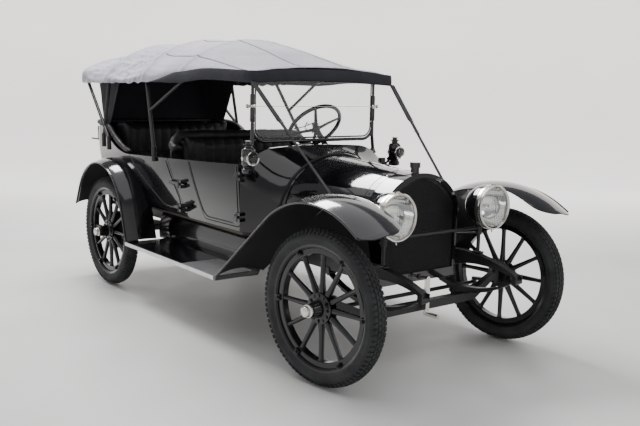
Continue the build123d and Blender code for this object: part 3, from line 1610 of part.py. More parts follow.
def exhaust():
    """Manifold, down pipe, silencer and tail pipe."""
    with BuildPart() as pipe:
        side_y = -engine_width / 2 - 1.3 * exhaust_radius - seat_clearance
        add(rod((engine_rear_x + crossmember_width, side_y, exhaust_manifold_z),
                (engine_front_x - crossmember_width, side_y, exhaust_manifold_z), 1.3 * exhaust_radius))
        add(rod((engine_rear_x + crossmember_width, side_y, exhaust_manifold_z),
                (engine_rear_x - crossmember_width, side_y, exhaust_z), exhaust_radius))
        add(rod((engine_rear_x - crossmember_width, side_y, exhaust_z), (silencer_front_x, side_y, exhaust_z),
                exhaust_radius))
        add(rod((silencer_front_x, side_y, exhaust_z), (silencer_rear_x, side_y, exhaust_z), silencer_radius))
        add(rod((silencer_rear_x, side_y, exhaust_z), (silencer_rear_x - silencer_radius * 5, side_y, exhaust_z),
                exhaust_radius * 0.8))
    return pipe.part


def controls():
    """Pedals, gear lever and hand brake lever."""
    with BuildPart() as levers:
        for x, y, top_x, top_z, radius in control_rows:
            add(rod((x, y, body_sill_z - radius), (top_x, y, top_z), radius))
            add(rod((top_x - radius, y, top_z - radius), (top_x + radius, y, top_z + radius), 2 * radius))
        add(block((rear_end_x, -fender_outer_y, body_sill_z - 2 * overrun),
                  (bonnet_rear_x, fender_outer_y, body_sill_z + seat_clearance)), mode=Mode.SUBTRACT)
    return levers.part


def steering():
    """The steering column, fixed to the frame, and the wheel that turns on its end."""
    centre = Vector(*wheel_centre)
    foot = Vector(*column_foot)
    along = (centre - foot).normalized()
    with BuildPart() as column:
        add(rod(column_foot, tuple(centre - along * (steering_hub_radius + seat_clearance)), column_radius))
        add(rod(column_foot, tuple(centre + along * steering_hub_radius), steering_shaft_radius))
        add(block((column_foot[0] - 2 * column_radius, column_foot[1] - column_radius * 2, column_foot[2] - column_radius * 2),
                  (column_foot[0] + 2 * column_radius, rail_y - rail_width / 2, column_foot[2] + column_radius)))
    with BuildPart() as wheel:
        with BuildSketch(Plane.XZ):
            with Locations((steering_rim_radius, 0)):
                RegularPolygon(steering_rim_tube, steering_rim_sides)
        revolve(axis=Axis.Z)
        with BuildSketch(Plane.XY.offset(-steering_hub_radius)):
            Circle(steering_hub_radius)
        extrude(amount=2 * steering_hub_radius)
        for spoke in range(steering_spokes):
            angle = radians(360 * spoke / steering_spokes + parked_wheel_turn)
            root = (steering_hub_radius + steering_shaft_radius) / 2
            add(rod((root * cos(angle), root * sin(angle), 0),
                    (steering_rim_radius * cos(angle), steering_rim_radius * sin(angle), 0), spoke_bar_radius))
        with BuildSketch(Plane.XY.offset(-2 * steering_hub_radius)):
            Circle(steering_shaft_radius + running_clearance)
        extrude(amount=4 * steering_hub_radius, mode=Mode.SUBTRACT)
    plane = Plane(origin=wheel_centre, z_dir=tuple(along))
    return column.part, placed(wheel.part, plane)


def main():
    """Builds every piece and writes it to its own file."""
    os.makedirs("parts", exist_ok=True)
    wheels()
    save(front_axle(), "front_axle")
    for name, side in SIDES:
        save(knuckle(side), f"knuckle_{name}")
    save(tie_rod(), "tie_rod")
    save(rear_axle(), "rear_axle")
    save(springs(), "springs")
    save(frame(), "frame")
    save(starting_crank(), "starting_crank")
    save(engine(), "engine")
    shell, core = radiator()
    save(shell, "radiator_shell")
    save(core, "radiator_core")
    left_bonnet = bonnet()
    save(left_bonnet, "bonnet_left")
    save(flipped(left_bonnet), "bonnet_right")
    save(cowl(), "cowl")
    side_panels()
    save(build_floor(), "floor")
    save(front_fenders(), "front_fenders")
    save(rear_fenders(), "rear_fenders")
    save(running_boards(), "running_boards")
    save(board_trim(), "board_trim")
    shells, rims, glasses = lamps()
    save(shells, "headlamps")
    save(rims, "headlamp_rims")
    save(glasses, "headlamp_glass")
    save(side_lamps(), "side_lamps")
    tubes, panes = windscreen()
    save(tubes, "windscreen_frame")
    save(panes, "windscreen_glass")
    save(canopy(), "top_canopy")
    save(top_bows(), "top_bows")
    save(top_rests(), "top_rests")
    save(exhaust(), "exhaust")
    save(controls(), "controls")
    save(back_curtain(), "back_curtain")
    for name, side in SIDES:
        save(strap(side), f"strap_{name}")
    front, rear, boxes = seats()
    save(front, "front_seat")
    save(rear, "rear_seat")
    save(boxes, "seat_boxes")
    column, wheel = steering()
    save(column, "steering_column")
    save(wheel, "steering_wheel")


main()
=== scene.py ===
import json
from math import acos, atan2, cos, degrees, pi, radians, sin, sqrt, tan

import bmesh
import bpy
import numpy as np
from mathutils import Matrix, Vector, noise
from mathutils.bvhtree import BVHTree


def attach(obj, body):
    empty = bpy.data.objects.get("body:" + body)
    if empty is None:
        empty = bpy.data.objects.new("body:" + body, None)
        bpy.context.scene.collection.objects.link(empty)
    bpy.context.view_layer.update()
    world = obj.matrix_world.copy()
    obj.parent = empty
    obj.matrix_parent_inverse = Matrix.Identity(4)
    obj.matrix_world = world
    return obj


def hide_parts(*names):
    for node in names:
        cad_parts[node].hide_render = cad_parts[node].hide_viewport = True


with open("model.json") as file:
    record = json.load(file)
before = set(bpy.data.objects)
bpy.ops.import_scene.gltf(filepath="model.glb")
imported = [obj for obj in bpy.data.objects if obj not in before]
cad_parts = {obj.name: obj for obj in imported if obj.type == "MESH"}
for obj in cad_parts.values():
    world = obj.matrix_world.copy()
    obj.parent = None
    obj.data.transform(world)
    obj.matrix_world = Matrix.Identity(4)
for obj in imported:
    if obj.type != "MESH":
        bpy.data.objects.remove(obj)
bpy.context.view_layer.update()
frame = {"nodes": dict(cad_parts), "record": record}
nodes = frame["nodes"]

SIDES = (("right", -1), ("left", 1))
WHEELS = (("front_right", -1), ("front_left", 1), ("rear_right", -1), ("rear_left", 1))

# Camera, solved from the photograph's wheels and body
camera_place = (4.6409, -3.1664, 1.5149)
camera_forward = (-0.7814, 0.6052, -0.1523)
camera_up = (-0.133, 0.0769, 0.9881)
camera_lens = 45.19


# Materials
thread_pitch, scratch_depth = 0.0011, 0.00002


def shader(name):
    """An empty node material, its tree and its shader."""
    finish = bpy.data.materials.new(name)
    finish.use_nodes = True
    tree = finish.node_tree
    return finish, tree, tree.nodes["Principled BSDF"]


def add_node(tree, kind, **settings):
    """A node with its sockets or its own settings set by name."""
    made = tree.nodes.new(kind)
    for key, value in settings.items():
        if key in made.inputs:
            made.inputs[key].default_value = value
        else:
            setattr(made, key, value)
    return made


def wire(tree, *pairs):
    """Links each output to its input."""
    for start, end in pairs:
        tree.links.new(start, end)


def place_on_object(tree, stretch=(1, 1, 1)):
    """Object coordinates, stretched along the piece."""
    where = add_node(tree, "ShaderNodeTexCoord")
    mapped = add_node(tree, "ShaderNodeMapping", Scale=stretch)
    tree.links.new(where.outputs["Object"], mapped.inputs["Vector"])
    return mapped.outputs["Vector"]


def noise_at(tree, where, scale, detail=3.0, rough=0.55):
    """Soft noise of one scale over the piece."""
    made = add_node(tree, "ShaderNodeTexNoise", Scale=scale, Detail=detail, Roughness=rough)
    tree.links.new(where, made.inputs["Vector"])
    return made.outputs["Fac"]


def spread(tree, value, low, high, start=0.3, end=0.7):
    """A value between start and end turned into one between low and high."""
    limits = {"From Min": start, "From Max": end, "To Min": low, "To Max": high}
    made = add_node(tree, "ShaderNodeMapRange", **limits)
    tree.links.new(value, made.inputs["Value"])
    return made.outputs["Result"]


def tint(tree, value, *stops):
    """A value turned into colour through its (place, colour) stops."""
    made = tree.nodes.new("ShaderNodeValToRGB")
    ramp = made.color_ramp
    while len(ramp.elements) < len(stops):
        ramp.elements.new(0.5)
    for element, (place, colour) in zip(ramp.elements, stops):
        element.position = place
        element.color = (*colour, 1)
    tree.links.new(value, made.inputs["Fac"])
    return made.outputs["Color"]


def multiply(tree, a, b):
    """A value multiplied by another value or by a number."""
    made = add_node(tree, "ShaderNodeMath", operation="MULTIPLY")
    tree.links.new(a, made.inputs[0])
    if isinstance(b, (int, float)):
        made.inputs[1].default_value = b
    else:
        tree.links.new(b, made.inputs[1])
    return made.outputs[0]


def blend(tree, first, share, second, rest):
    """Two values added up, each in its share."""
    made = add_node(tree, "ShaderNodeMath", operation="ADD")
    tree.links.new(multiply(tree, first, share), made.inputs[0])
    tree.links.new(multiply(tree, second, rest), made.inputs[1])
    return made.outputs[0]


def dress(tree, base, colour, roughness, **settings):
    """Links colour and roughness to the shader, and sets its constant sockets."""
    wire(tree, (colour, base.inputs["Base Color"]), (roughness, base.inputs["Roughness"]))
    for key, value in settings.items():
        base.inputs[key.replace("_", " ")].default_value = value


def relief(tree, base, *layers):
    """Bump from (height, depth in metres) layers, linked to the shader's normal."""
    last = None
    for height, depth in layers:
        made = add_node(tree, "ShaderNodeBump", Strength=1.0, Distance=depth)
        tree.links.new(height, made.inputs["Height"])
        if last is not None:
            tree.links.new(last, made.inputs["Normal"])
        last = made.outputs["Normal"]
    tree.links.new(last, base.inputs["Normal"])


def paint(name, dark, pale, rough_low, rough_high, coat=0.0, dust=0.0, waviness=0.0006):
    """Brushed coach enamel: deep colour, a little orange peel, and dust lying in it."""
    finish, tree, base = shader(name)
    where = place_on_object(tree)
    cloud = noise_at(tree, where, 2.3, 4.0)
    speck = noise_at(tree, where, 60.0, 4.0)
    dress(tree, base, tint(tree, cloud, (0.35, dark), (0.7, pale)),
          spread(tree, blend(tree, cloud, 0.6, speck, 0.4 + dust), rough_low, rough_high),
          Coat_Weight=coat, Coat_Roughness=0.05, Specular_IOR_Level=0.5)
    relief(tree, base, (noise_at(tree, where, 3.5, 2.0), waviness))
    return finish


def bare_metal(name, dark, pale, rough_low, rough_high, stretch=(1, 1, 1)):
    """Plated or brushed metal with faint tarnish and scratches."""
    finish, tree, base = shader(name)
    where = place_on_object(tree, stretch)
    stain = noise_at(tree, where, 14.0, 5.0)
    scratch = noise_at(tree, where, 180.0, 6.0, 0.7)
    dress(tree, base, tint(tree, stain, (0.3, dark), (0.72, pale)),
          spread(tree, blend(tree, stain, 0.5, scratch, 0.5), rough_low, rough_high), Metallic=1.0)
    relief(tree, base, (scratch, scratch_depth))
    return finish


def rubber(name, dark, pale):
    """Weathered rubber with bloom in patches and a fine rind."""
    finish, tree, base = shader(name)
    where = place_on_object(tree)
    bloom = noise_at(tree, where, 9.0, 6.0)
    rind = noise_at(tree, where, 150.0, 6.0, 0.7)
    dress(tree, base, tint(tree, blend(tree, bloom, 0.7, rind, 0.3), (0.36, dark), (0.66, pale)),
          spread(tree, rind, 0.62, 0.88), Specular_IOR_Level=0.35)
    relief(tree, base, (rind, 0.0003), (noise_at(tree, where, 700.0, 3.0), 0.00008))
    return finish


def cloth(name, dark, pale, sheen=0.25):
    """Woven top cloth: crossed threads, slubs, stains and a soft sheen."""
    finish, tree, base = shader(name)
    where = place_on_object(tree)
    threads = []
    for direction in ("X", "Y"):
        wave = add_node(tree, "ShaderNodeTexWave", Scale=1.0 / (thread_pitch * 20.0), Distortion=1.4,
                        Detail=2.0, bands_direction=direction)
        wave.inputs["Detail Scale"].default_value = 2.0
        tree.links.new(where, wave.inputs["Vector"])
        threads.append(wave.outputs["Fac"])
    weave = multiply(tree, *threads)
    stain = noise_at(tree, where, 2.4, 5.0)
    slub = noise_at(tree, where, 55.0, 5.0, 0.65)
    dress(tree, base, tint(tree, blend(tree, stain, 0.6, slub, 0.4), (0.36, dark), (0.62, pale)),
          spread(tree, slub, 0.74, 0.95), Sheen_Weight=sheen, Sheen_Roughness=0.5)
    relief(tree, base, (weave, 0.00035), (slub, 0.0008), (noise_at(tree, where, 12.0, 3.0), 0.004))
    return finish


def leather(name, dark, pale, rough_low=0.34, rough_high=0.58):
    """Buffed hide: pebbled grain, creases and worn highs."""
    finish, tree, base = shader(name)
    where = place_on_object(tree)
    grain = add_node(tree, "ShaderNodeTexVoronoi", Scale=420.0, Randomness=1.0)
    tree.links.new(where, grain.inputs["Vector"])
    crease = noise_at(tree, where, 26.0, 6.0, 0.6)
    wear = noise_at(tree, where, 5.0, 4.0)
    dress(tree, base, tint(tree, wear, (0.35, dark), (0.7, pale)),
          spread(tree, crease, rough_low, rough_high))
    relief(tree, base, (grain.outputs["Distance"], 0.0005), (crease, 0.0016))
    return finish


def board_wood(name, dark, pale, rough=0.55):
    """Planed boards with long grain along X."""
    finish, tree, base = shader(name)
    where = place_on_object(tree, (1.0, 14.0, 14.0))
    grain = noise_at(tree, where, 5.0, 6.0, 0.65)
    dress(tree, base, tint(tree, grain, (0.35, dark), (0.65, pale)),
          spread(tree, grain, rough - 0.1, rough + 0.15))
    relief(tree, base, (grain, 0.0006))
    return finish


def clear_glass(name, colour=(0.96, 0.98, 0.98)):
    """Old sheet glass, faintly wavy."""
    finish, tree, base = shader(name)
    for key, value in (("Base Color", (*colour, 1)), ("Transmission Weight", 1.0), ("IOR", 1.46)):
        base.inputs[key].default_value = value
    where = place_on_object(tree)
    tree.links.new(spread(tree, noise_at(tree, where, 8.0), 0.02, 0.04), base.inputs["Roughness"])
    relief(tree, base, (noise_at(tree, where, 5.0, 1.0), 0.0004))
    return finish


black_paint = paint("black_enamel", (0.004, 0.004, 0.005), (0.008, 0.008, 0.01), 0.05, 0.13, coat=0.6)
fender_paint = paint("fender_enamel", (0.004, 0.004, 0.005), (0.009, 0.009, 0.011), 0.07, 0.16, coat=0.6,
                     dust=0.1)
chassis_paint = paint("chassis_black", (0.007, 0.007, 0.008), (0.016, 0.016, 0.018), 0.26, 0.46)
wheel_paint = paint("wheel_enamel", (0.005, 0.005, 0.006), (0.01, 0.01, 0.011), 0.14, 0.3, coat=0.25)
iron = paint("cast_iron_black", (0.02, 0.019, 0.018), (0.045, 0.042, 0.04), 0.5, 0.75, waviness=0.0012)
nickel = bare_metal("nickel_plate", (0.62, 0.58, 0.52), (0.86, 0.84, 0.8), 0.1, 0.26)
aluminium = bare_metal("step_aluminium", (0.58, 0.58, 0.6), (0.8, 0.8, 0.82), 0.26, 0.42, (1, 18, 1))
reflector = bare_metal("silvered_reflector", (0.8, 0.8, 0.79), (0.93, 0.93, 0.92), 0.08, 0.16)
tyre_rubber = rubber("tyre_rubber", (0.02, 0.021, 0.022), (0.048, 0.05, 0.052))
mat_rubber = rubber("board_mat", (0.01, 0.01, 0.011), (0.022, 0.022, 0.024))
top_cloth = cloth("top_cloth_outside", (0.25, 0.247, 0.3), (0.43, 0.425, 0.49))
top_lining = cloth("top_cloth_inside", (0.01, 0.011, 0.016), (0.022, 0.023, 0.032), sheen=0.1)
strap_cloth = leather("strap_hide", (0.02, 0.02, 0.023), (0.045, 0.045, 0.05), 0.5, 0.75)
black_leather = leather("seat_hide", (0.006, 0.006, 0.007), (0.016, 0.016, 0.018))
bow_wood = board_wood("bow_wood_black", (0.006, 0.006, 0.006), (0.016, 0.015, 0.014), 0.42)
floor_boards = board_wood("floor_boards", (0.03, 0.022, 0.016), (0.075, 0.055, 0.04))
screen_glass = clear_glass("screen_glass")
lamp_glass = clear_glass("lamp_glass", (0.97, 0.98, 0.97))
core_metal = paint("radiator_core_black", (0.006, 0.006, 0.007), (0.02, 0.02, 0.021), 0.4, 0.62)

SLOT_FINISH = {
    "body_black": black_paint, "chassis_black": chassis_paint, "wheel_black": wheel_paint,
    "tyre": tyre_rubber, "engine_iron": iron, "core": core_metal, "nickel": nickel, "glass": screen_glass,
    "aluminium": aluminium, "rubber_mat": mat_rubber, "canopy_cloth": top_cloth, "leather": black_leather,
    "floor_wood": floor_boards, "bow_wood": bow_wood, "strap": strap_cloth, "exhaust_iron": iron,
}


# Mesh helpers
def placed(name, data):
    """A new object of this mesh, light or camera, in the scene."""
    made = bpy.data.objects.new(name, data)
    bpy.context.scene.collection.objects.link(made)
    return made


def shade(mesh, sharp):
    """Smooth shading, with edges sharper than an angle kept."""
    mesh.shade_smooth()
    mesh.set_sharp_from_angle(angle=radians(sharp))


def clean_normals(mesh):
    """Points that meet become one, and faces look outward."""
    work = bmesh.new()
    work.from_mesh(mesh)
    bmesh.ops.remove_doubles(work, verts=work.verts, dist=1e-6)
    bmesh.ops.recalc_face_normals(work, faces=work.faces)
    work.to_mesh(mesh)
    work.free()


def solid(name, verts, faces, finish, sharp=40.0, merge=True):
    """A mesh object from points and faces, with its finish, outward normals and smooth shading."""
    mesh = bpy.data.meshes.new(name)
    mesh.from_pydata([tuple(v) for v in verts], [], [tuple(f) for f in faces])
    mesh.materials.append(finish)
    if merge:
        clean_normals(mesh)
    shade(mesh, sharp)
    return placed(name, mesh)


def join(name, parts):
    """Several mesh objects made one, keeping each one's finish."""
    merged = bpy.data.meshes.new(name)
    work = bmesh.new()
    finishes = []
    for part in parts:
        offset = len(work.faces)
        slots = []
        for finish in part.data.materials:
            if finish not in finishes:
                finishes.append(finish)
            slots.append(finishes.index(finish))
        work.from_mesh(part.data)
        work.faces.ensure_lookup_table()
        for face in work.faces[offset:]:
            face.material_index = slots[min(face.material_index, len(slots) - 1)]
    work.to_mesh(merged)
    work.free()
    for finish in finishes:
        merged.materials.append(finish)
    for part in parts:
        bpy.data.objects.remove(part)
    return placed(name, merged)


def apply_modifiers(piece):
    """The piece with its modifiers worked into its mesh."""
    bpy.context.view_layer.update()
    graph = bpy.context.evaluated_depsgraph_get()
    mesh = bpy.data.meshes.new_from_object(piece.evaluated_get(graph))
    piece.modifiers.clear()
    old = piece.data
    piece.data = mesh
    if old.users == 0:
        bpy.data.meshes.remove(old)
    return piece


def fit(piece, body, slot, *replaced):
    """The piece rides on its body and stands for what it replaces; the slot argument is not used."""
    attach(piece, body)
    if replaced:
        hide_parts(*replaced)
    return piece


def skin(rings, closed_ring=True, cap=True, closed_path=False):
    """Points and faces that join rings of the same number of points."""
    count = len(rings[0])
    verts = [Vector(p) for ring in rings for p in ring]
    faces = []
    spans = len(rings) if closed_path else len(rings) - 1
    for i in range(spans):
        a, b = i * count, ((i + 1) % len(rings)) * count
        for j in range(count if closed_ring else count - 1):
            k = (j + 1) % count
            faces.append((a + j, a + k, b + k, b + j))
    if cap and closed_ring and not closed_path:
        faces.append(tuple(range(count - 1, -1, -1)))
        faces.append(tuple(range((len(rings) - 1) * count, len(rings) * count)))
    return verts, faces


def frames_along(points, up=(0, 0, 1), closed=False):
    """At each point of a path: the point, its sideways and its upward direction, without twist."""
    points = [Vector(p) for p in points]
    count = len(points)
    rows = []
    side = None
    for i, point in enumerate(points):
        before = points[i - 1] if (i or closed) else point
        after = points[(i + 1) % count] if (i < count - 1 or closed) else point
        along = (after - before).normalized()
        if side is None:
            side = along.cross(Vector(up))
            if side.length < 1e-4:
                side = along.cross(Vector((1, 0, 0)))
        side = (side - along * side.dot(along)).normalized()
        rows.append((point, side, side.cross(along)))
    return rows


def swept(points, outline, up=(0, 0, 1), closed=False, scale=None):
    """Points and faces of an outline of (across, up) carried along a path."""
    rings = []
    for i, (point, side, rise) in enumerate(frames_along(points, up, closed)):
        size = scale[i] if scale else 1.0
        rings.append([point + side * (u * size) + rise * (v * size) for u, v in outline])
    return skin(rings, closed_path=closed)


def round_outline(radius, count=12):
    """A circle as (across, up) points."""
    return [(radius * cos(2 * pi * k / count), radius * sin(2 * pi * k / count)) for k in range(count)]


def rounded_box_outline(half_width, half_height, corner, steps=4):
    """A rectangle with rounded corners, as (across, up) points."""
    points = []
    for quarter, (sx, sy) in enumerate(((1, 1), (-1, 1), (-1, -1), (1, -1))):
        for step in range(steps + 1):
            angle = pi / 2 * (quarter + step / steps)
            points.append((sx * (half_width - corner) + corner * cos(angle),
                           sy * (half_height - corner) + corner * sin(angle)))
    return points


def tube(name, points, radius, finish, count=12, closed=False, up=(0, 0, 1)):
    """A round bar along a path."""
    return solid(name, *swept(points, round_outline(radius, count), up, closed), finish, sharp=50)


def smooth_path(points, per_span=8):
    """A smooth line through a few points."""
    points = [Vector(p) for p in points]
    count = len(points)
    line = []
    for i in range(count - 1):
        p1, p2 = points[i], points[i + 1]
        p0 = points[i - 1] if i else p1 + (p1 - p2)
        p3 = points[i + 2] if i < count - 2 else p2 + (p2 - p1)
        for k in range(per_span):
            t = k / per_span
            line.append(0.5 * ((2 * p1) + (p2 - p0) * t + (2 * p0 - 5 * p1 + 4 * p2 - p3) * t * t
                               + (3 * p1 - p0 - 3 * p2 + p3) * t * t * t))
    return line + [points[-1]]


def even_points(line, count):
    """Points at even distances along a line."""
    lengths = [0.0]
    for a, b in zip(line, line[1:]):
        lengths.append(lengths[-1] + (b - a).length)
    found, i = [], 0
    for k in range(count + 1):
        want = lengths[-1] * k / count
        while i < len(line) - 2 and lengths[i + 1] < want:
            i += 1
        t = (want - lengths[i]) / max(lengths[i + 1] - lengths[i], 1e-9)
        found.append(line[i].lerp(line[i + 1], min(t, 1.0)))
    return found


def turned(profile, centre, axis, count=48):
    """A profile of (radius, along) turned about an axis, as rings of points."""
    axis, centre = Vector(axis).normalized(), Vector(centre)
    first = Vector((0, 0, 1)) - axis * axis.dot(Vector((0, 0, 1)))
    if first.length < 1e-4:
        first = Vector((1, 0, 0))
    first.normalize()
    second = axis.cross(first)
    rings = []
    for k in range(count):
        angle = 2 * pi * k / count
        out = first * cos(angle) + second * sin(angle)
        rings.append([centre + out * r + axis * h for r, h in profile])
    return rings


def lathe(name, profile, centre, axis, finish, count=48, sharp=35.0):
    """A turned piece from a closed profile of (radius, along)."""
    return solid(name, *skin(turned(profile, centre, axis, count), cap=False, closed_path=True), finish,
                 sharp=sharp)


def block(name, low, high, finish, bevel=0.0, segments=2):
    """A box between two corners with eased edges."""
    work = bmesh.new()
    bmesh.ops.create_cube(work, size=1.0)
    middle = (Vector(low) + Vector(high)) / 2
    size = Vector(high) - Vector(low)
    bmesh.ops.transform(work, matrix=Matrix.Translation(middle) @ Matrix.Diagonal((*size, 1)),
                        verts=work.verts)
    if bevel:
        bmesh.ops.bevel(work, geom=work.edges[:], offset=bevel, segments=segments, affect="EDGES",
                        profile=0.5)
    mesh = bpy.data.meshes.new(name)
    work.to_mesh(mesh)
    work.free()
    mesh.materials.append(finish)
    shade(mesh, 35)
    return placed(name, mesh)


# Repeats, by Geometry Nodes
# A fastener's boss against its head
boss_width, boss_height = 1.35, 0.35


def tree_inputs(tree, *rows):
    """Named inputs of a tree, as {name: (identifier, default)}."""
    tree.interface.new_socket("Geometry", in_out="INPUT", socket_type="NodeSocketGeometry")
    found = {}
    for name, kind, default in rows:
        made = tree.interface.new_socket(name, in_out="INPUT", socket_type=kind)
        if default is not None:
            made.default_value = default
        found[name] = made.identifier
    tree.interface.new_socket("Geometry", in_out="OUTPUT", socket_type="NodeSocketGeometry")
    return found


def stored(tree, name):
    """The vector kept under a name at each point."""
    made = add_node(tree, "GeometryNodeInputNamedAttribute", data_type="FLOAT_VECTOR", Name=name)
    return made.outputs["Attribute"]


def turned_to(tree, axis, way, rotation=None):
    """A rotation that turns an axis to a direction, about Z only where it follows another rotation."""
    made = add_node(tree, "FunctionNodeAlignRotationToVector", axis=axis)
    tree.links.new(way, made.inputs["Vector"])
    if rotation is not None:
        made.pivot_axis = "Z"
        tree.links.new(rotation, made.inputs["Rotation"])
    return made.outputs[0]


def finish_tree(tree, source, shape, rotation):
    """Ends a tree: the shape at its points, Realize Instances and Set Material."""
    place = tree.nodes.new("GeometryNodeInstanceOnPoints")
    real = tree.nodes.new("GeometryNodeRealizeInstances")
    material = tree.nodes.new("GeometryNodeSetMaterial")
    out = tree.nodes.new("NodeGroupOutput")
    wire(tree, (source.outputs["Geometry"], place.inputs["Points"]), (shape, place.inputs["Instance"]),
         (rotation, place.inputs["Rotation"]), (place.outputs[0], real.inputs[0]),
         (real.outputs[0], material.inputs["Geometry"]),
         (source.outputs["Finish"], material.inputs["Material"]), (material.outputs[0], out.inputs[0]))


def fastener_tree():
    """Round or hexagonal heads on low bosses, each turned to its point's own direction."""
    tree = bpy.data.node_groups.new("fasteners", "GeometryNodeTree")
    rows = tree_inputs(tree, ("Sides", "NodeSocketInt", 6), ("Radius", "NodeSocketFloat", 0.008),
                       ("Height", "NodeSocketFloat", 0.006), ("Finish", "NodeSocketMaterial", None))
    source = tree.nodes.new("NodeGroupInput")
    head = tree.nodes.new("GeometryNodeMeshCylinder")
    boss = add_node(tree, "GeometryNodeMeshCylinder", Vertices=16)
    both = tree.nodes.new("GeometryNodeJoinGeometry")
    radius, height = source.outputs["Radius"], source.outputs["Height"]
    wire(tree, (source.outputs["Sides"], head.inputs["Vertices"]), (radius, head.inputs["Radius"]),
         (height, head.inputs["Depth"]), (multiply(tree, radius, boss_width), boss.inputs["Radius"]),
         (multiply(tree, height, boss_height), boss.inputs["Depth"]),
         (head.outputs["Mesh"], both.inputs[0]), (boss.outputs["Mesh"], both.inputs[0]))
    finish_tree(tree, source, both.outputs[0], turned_to(tree, "Z", stored(tree, "facing")))
    return tree, rows


def rib_tree():
    """Bars of one size at points, such as the ribs of a step plate or the blocks of a tread."""
    tree = bpy.data.node_groups.new("ribs", "GeometryNodeTree")
    rows = tree_inputs(tree, ("Size", "NodeSocketVector", (0.01, 0.01, 0.01)),
                       ("Finish", "NodeSocketMaterial", None))
    source = tree.nodes.new("NodeGroupInput")
    bar = tree.nodes.new("GeometryNodeMeshCube")
    tree.links.new(source.outputs["Size"], bar.inputs["Size"])
    upright = turned_to(tree, "Z", stored(tree, "facing"))
    finish_tree(tree, source, bar.outputs["Mesh"], turned_to(tree, "X", stored(tree, "along"), upright))
    return tree, rows


FASTENERS, FASTENER_ROWS = fastener_tree()
RIBS, RIB_ROWS = rib_tree()


def repeated(name, tree, rows, places, finish, **sizes):
    """One plain mesh of a tree's shape at places given as (point, facing, along)."""
    mesh = bpy.data.meshes.new(name)
    mesh.from_pydata([tuple(row[0]) for row in places], [], [])
    for key, column in (("facing", 1), ("along", 2)):
        store = mesh.attributes.new(key, "FLOAT_VECTOR", "POINT")
        store.data.foreach_set("vector", [n for row in places for n in row[column]])
    made = placed(name, mesh)
    step = made.modifiers.new("repeat", "NODES")
    step.node_group = tree
    for key, value in {**sizes, "Finish": finish}.items():
        step[rows[key]] = value
    apply_modifiers(made)
    shade(made.data, 35)
    return made


def fasteners(name, places, radius, height, finish, sides=6):
    """Bolt heads at places given as (point, facing)."""
    return repeated(name, FASTENERS, FASTENER_ROWS, [(p, f, (1, 0, 0)) for p, f in places], finish,
                    Sides=sides, Radius=radius, Height=height)


def ribs(name, places, size, finish):
    """Bars of one size at places given as (point, facing, along)."""
    return repeated(name, RIBS, RIB_ROWS, places, finish, Size=size)


def set_finish(name, finish):
    """A CAD node keeps its shape and gets a node material."""
    piece = nodes[name]
    piece.data.materials.clear()
    piece.data.materials.append(finish)


slot_of = {row["node"]: row["material_slot"] for row in frame["record"]["subparts"]}
for node_name in nodes:
    set_finish(node_name, SLOT_FINISH[slot_of[node_name]])
set_finish("running_boards", fender_paint)


def dull_inside(finish, name, skin_y, band):
    """A copy of an enamel whose faces turned down or in to the wheel are road-dull and uncoated."""
    made = finish.copy()
    made.name = name
    tree = made.node_tree
    base = next(n for n in tree.nodes if n.type == "BSDF_PRINCIPLED")
    where = add_node(tree, "ShaderNodeTexCoord")
    facing = add_node(tree, "ShaderNodeSeparateXYZ")
    tree.links.new(where.outputs["Normal"], facing.inputs[0])
    place = add_node(tree, "ShaderNodeSeparateXYZ")
    tree.links.new(where.outputs["Object"], place.inputs[0])
    away = add_node(tree, "ShaderNodeMath", operation="ABSOLUTE")
    tree.links.new(place.outputs["Y"], away.inputs[0])
    dull = multiply(tree, spread(tree, facing.outputs["Z"], 1.0, 0.0, 0.1, 0.28),
                    spread(tree, away.outputs[0], 1.0, 0.0, skin_y - band, skin_y))
    rough = add_node(tree, "ShaderNodeMath", operation="MAXIMUM")
    tree.links.new(base.inputs["Roughness"].links[0].from_socket, rough.inputs[0])
    tree.links.new(multiply(tree, dull, 0.92), rough.inputs[1])
    tree.links.new(rough.outputs[0], base.inputs["Roughness"])
    coat = base.inputs["Coat Weight"].default_value
    tree.links.new(spread(tree, dull, coat, 0.0), base.inputs["Coat Weight"])
    return made


inner_enamel = dull_inside(fender_paint, "fender_enamel_and_underside", 0.789, 0.012)
set_finish("front_fenders", inner_enamel)
set_finish("rear_fenders", inner_enamel)
set_finish("seat_boxes", black_leather)


# Wheels
wheel_radius, wheel_y, front_axle_x, rear_axle_x, kingpin_y = 0.412, 0.711, 1.496, -1.146, 0.636
parked_steer = radians(7.2)
spoke_count = 12
tread_pitches, tread_rows = 84, (-0.034, -0.017, 0.0, 0.017, 0.034)
tread_radius, shoulder_radius = 0.4064, 0.3905


def wheel_pose(place, side):
    """Centre and outward axis of a wheel as it stands parked."""
    if place.startswith("rear"):
        return Vector((rear_axle_x, side * wheel_y, wheel_radius)), Vector((0, side, 0))
    axis = Vector((-side * sin(parked_steer), side * cos(parked_steer), 0))
    return Vector((front_axle_x, side * kingpin_y, wheel_radius)) + axis * (wheel_y - kingpin_y), axis


def wheel_place(centre, axis):
    """Matrix from a wheel's own frame, Y outward, to its place."""
    forward = axis.cross(Vector((0, 0, 1))).normalized()
    return Matrix.Translation(centre) @ Matrix((forward, axis, Vector((0, 0, 1)))).transposed().to_4x4()


def wheel_ring(name, profile, finish, count=96, sharp=35.0):
    """A part turned about the wheel's axis, in the wheel's own frame."""
    return lathe(name, profile, (0, 0, 0), (0, 1, 0), finish, count, sharp=sharp)


def around(radius, reach, count, start=0.0):
    """Points on a circle about the wheel's axis, with their outward radial direction."""
    for k in range(count):
        angle = 2 * pi * (k + start) / count
        out = Vector((sin(angle), 0, cos(angle)))
        yield out * radius + Vector((0, reach, 0)), out, Vector((cos(angle), 0, -sin(angle)))


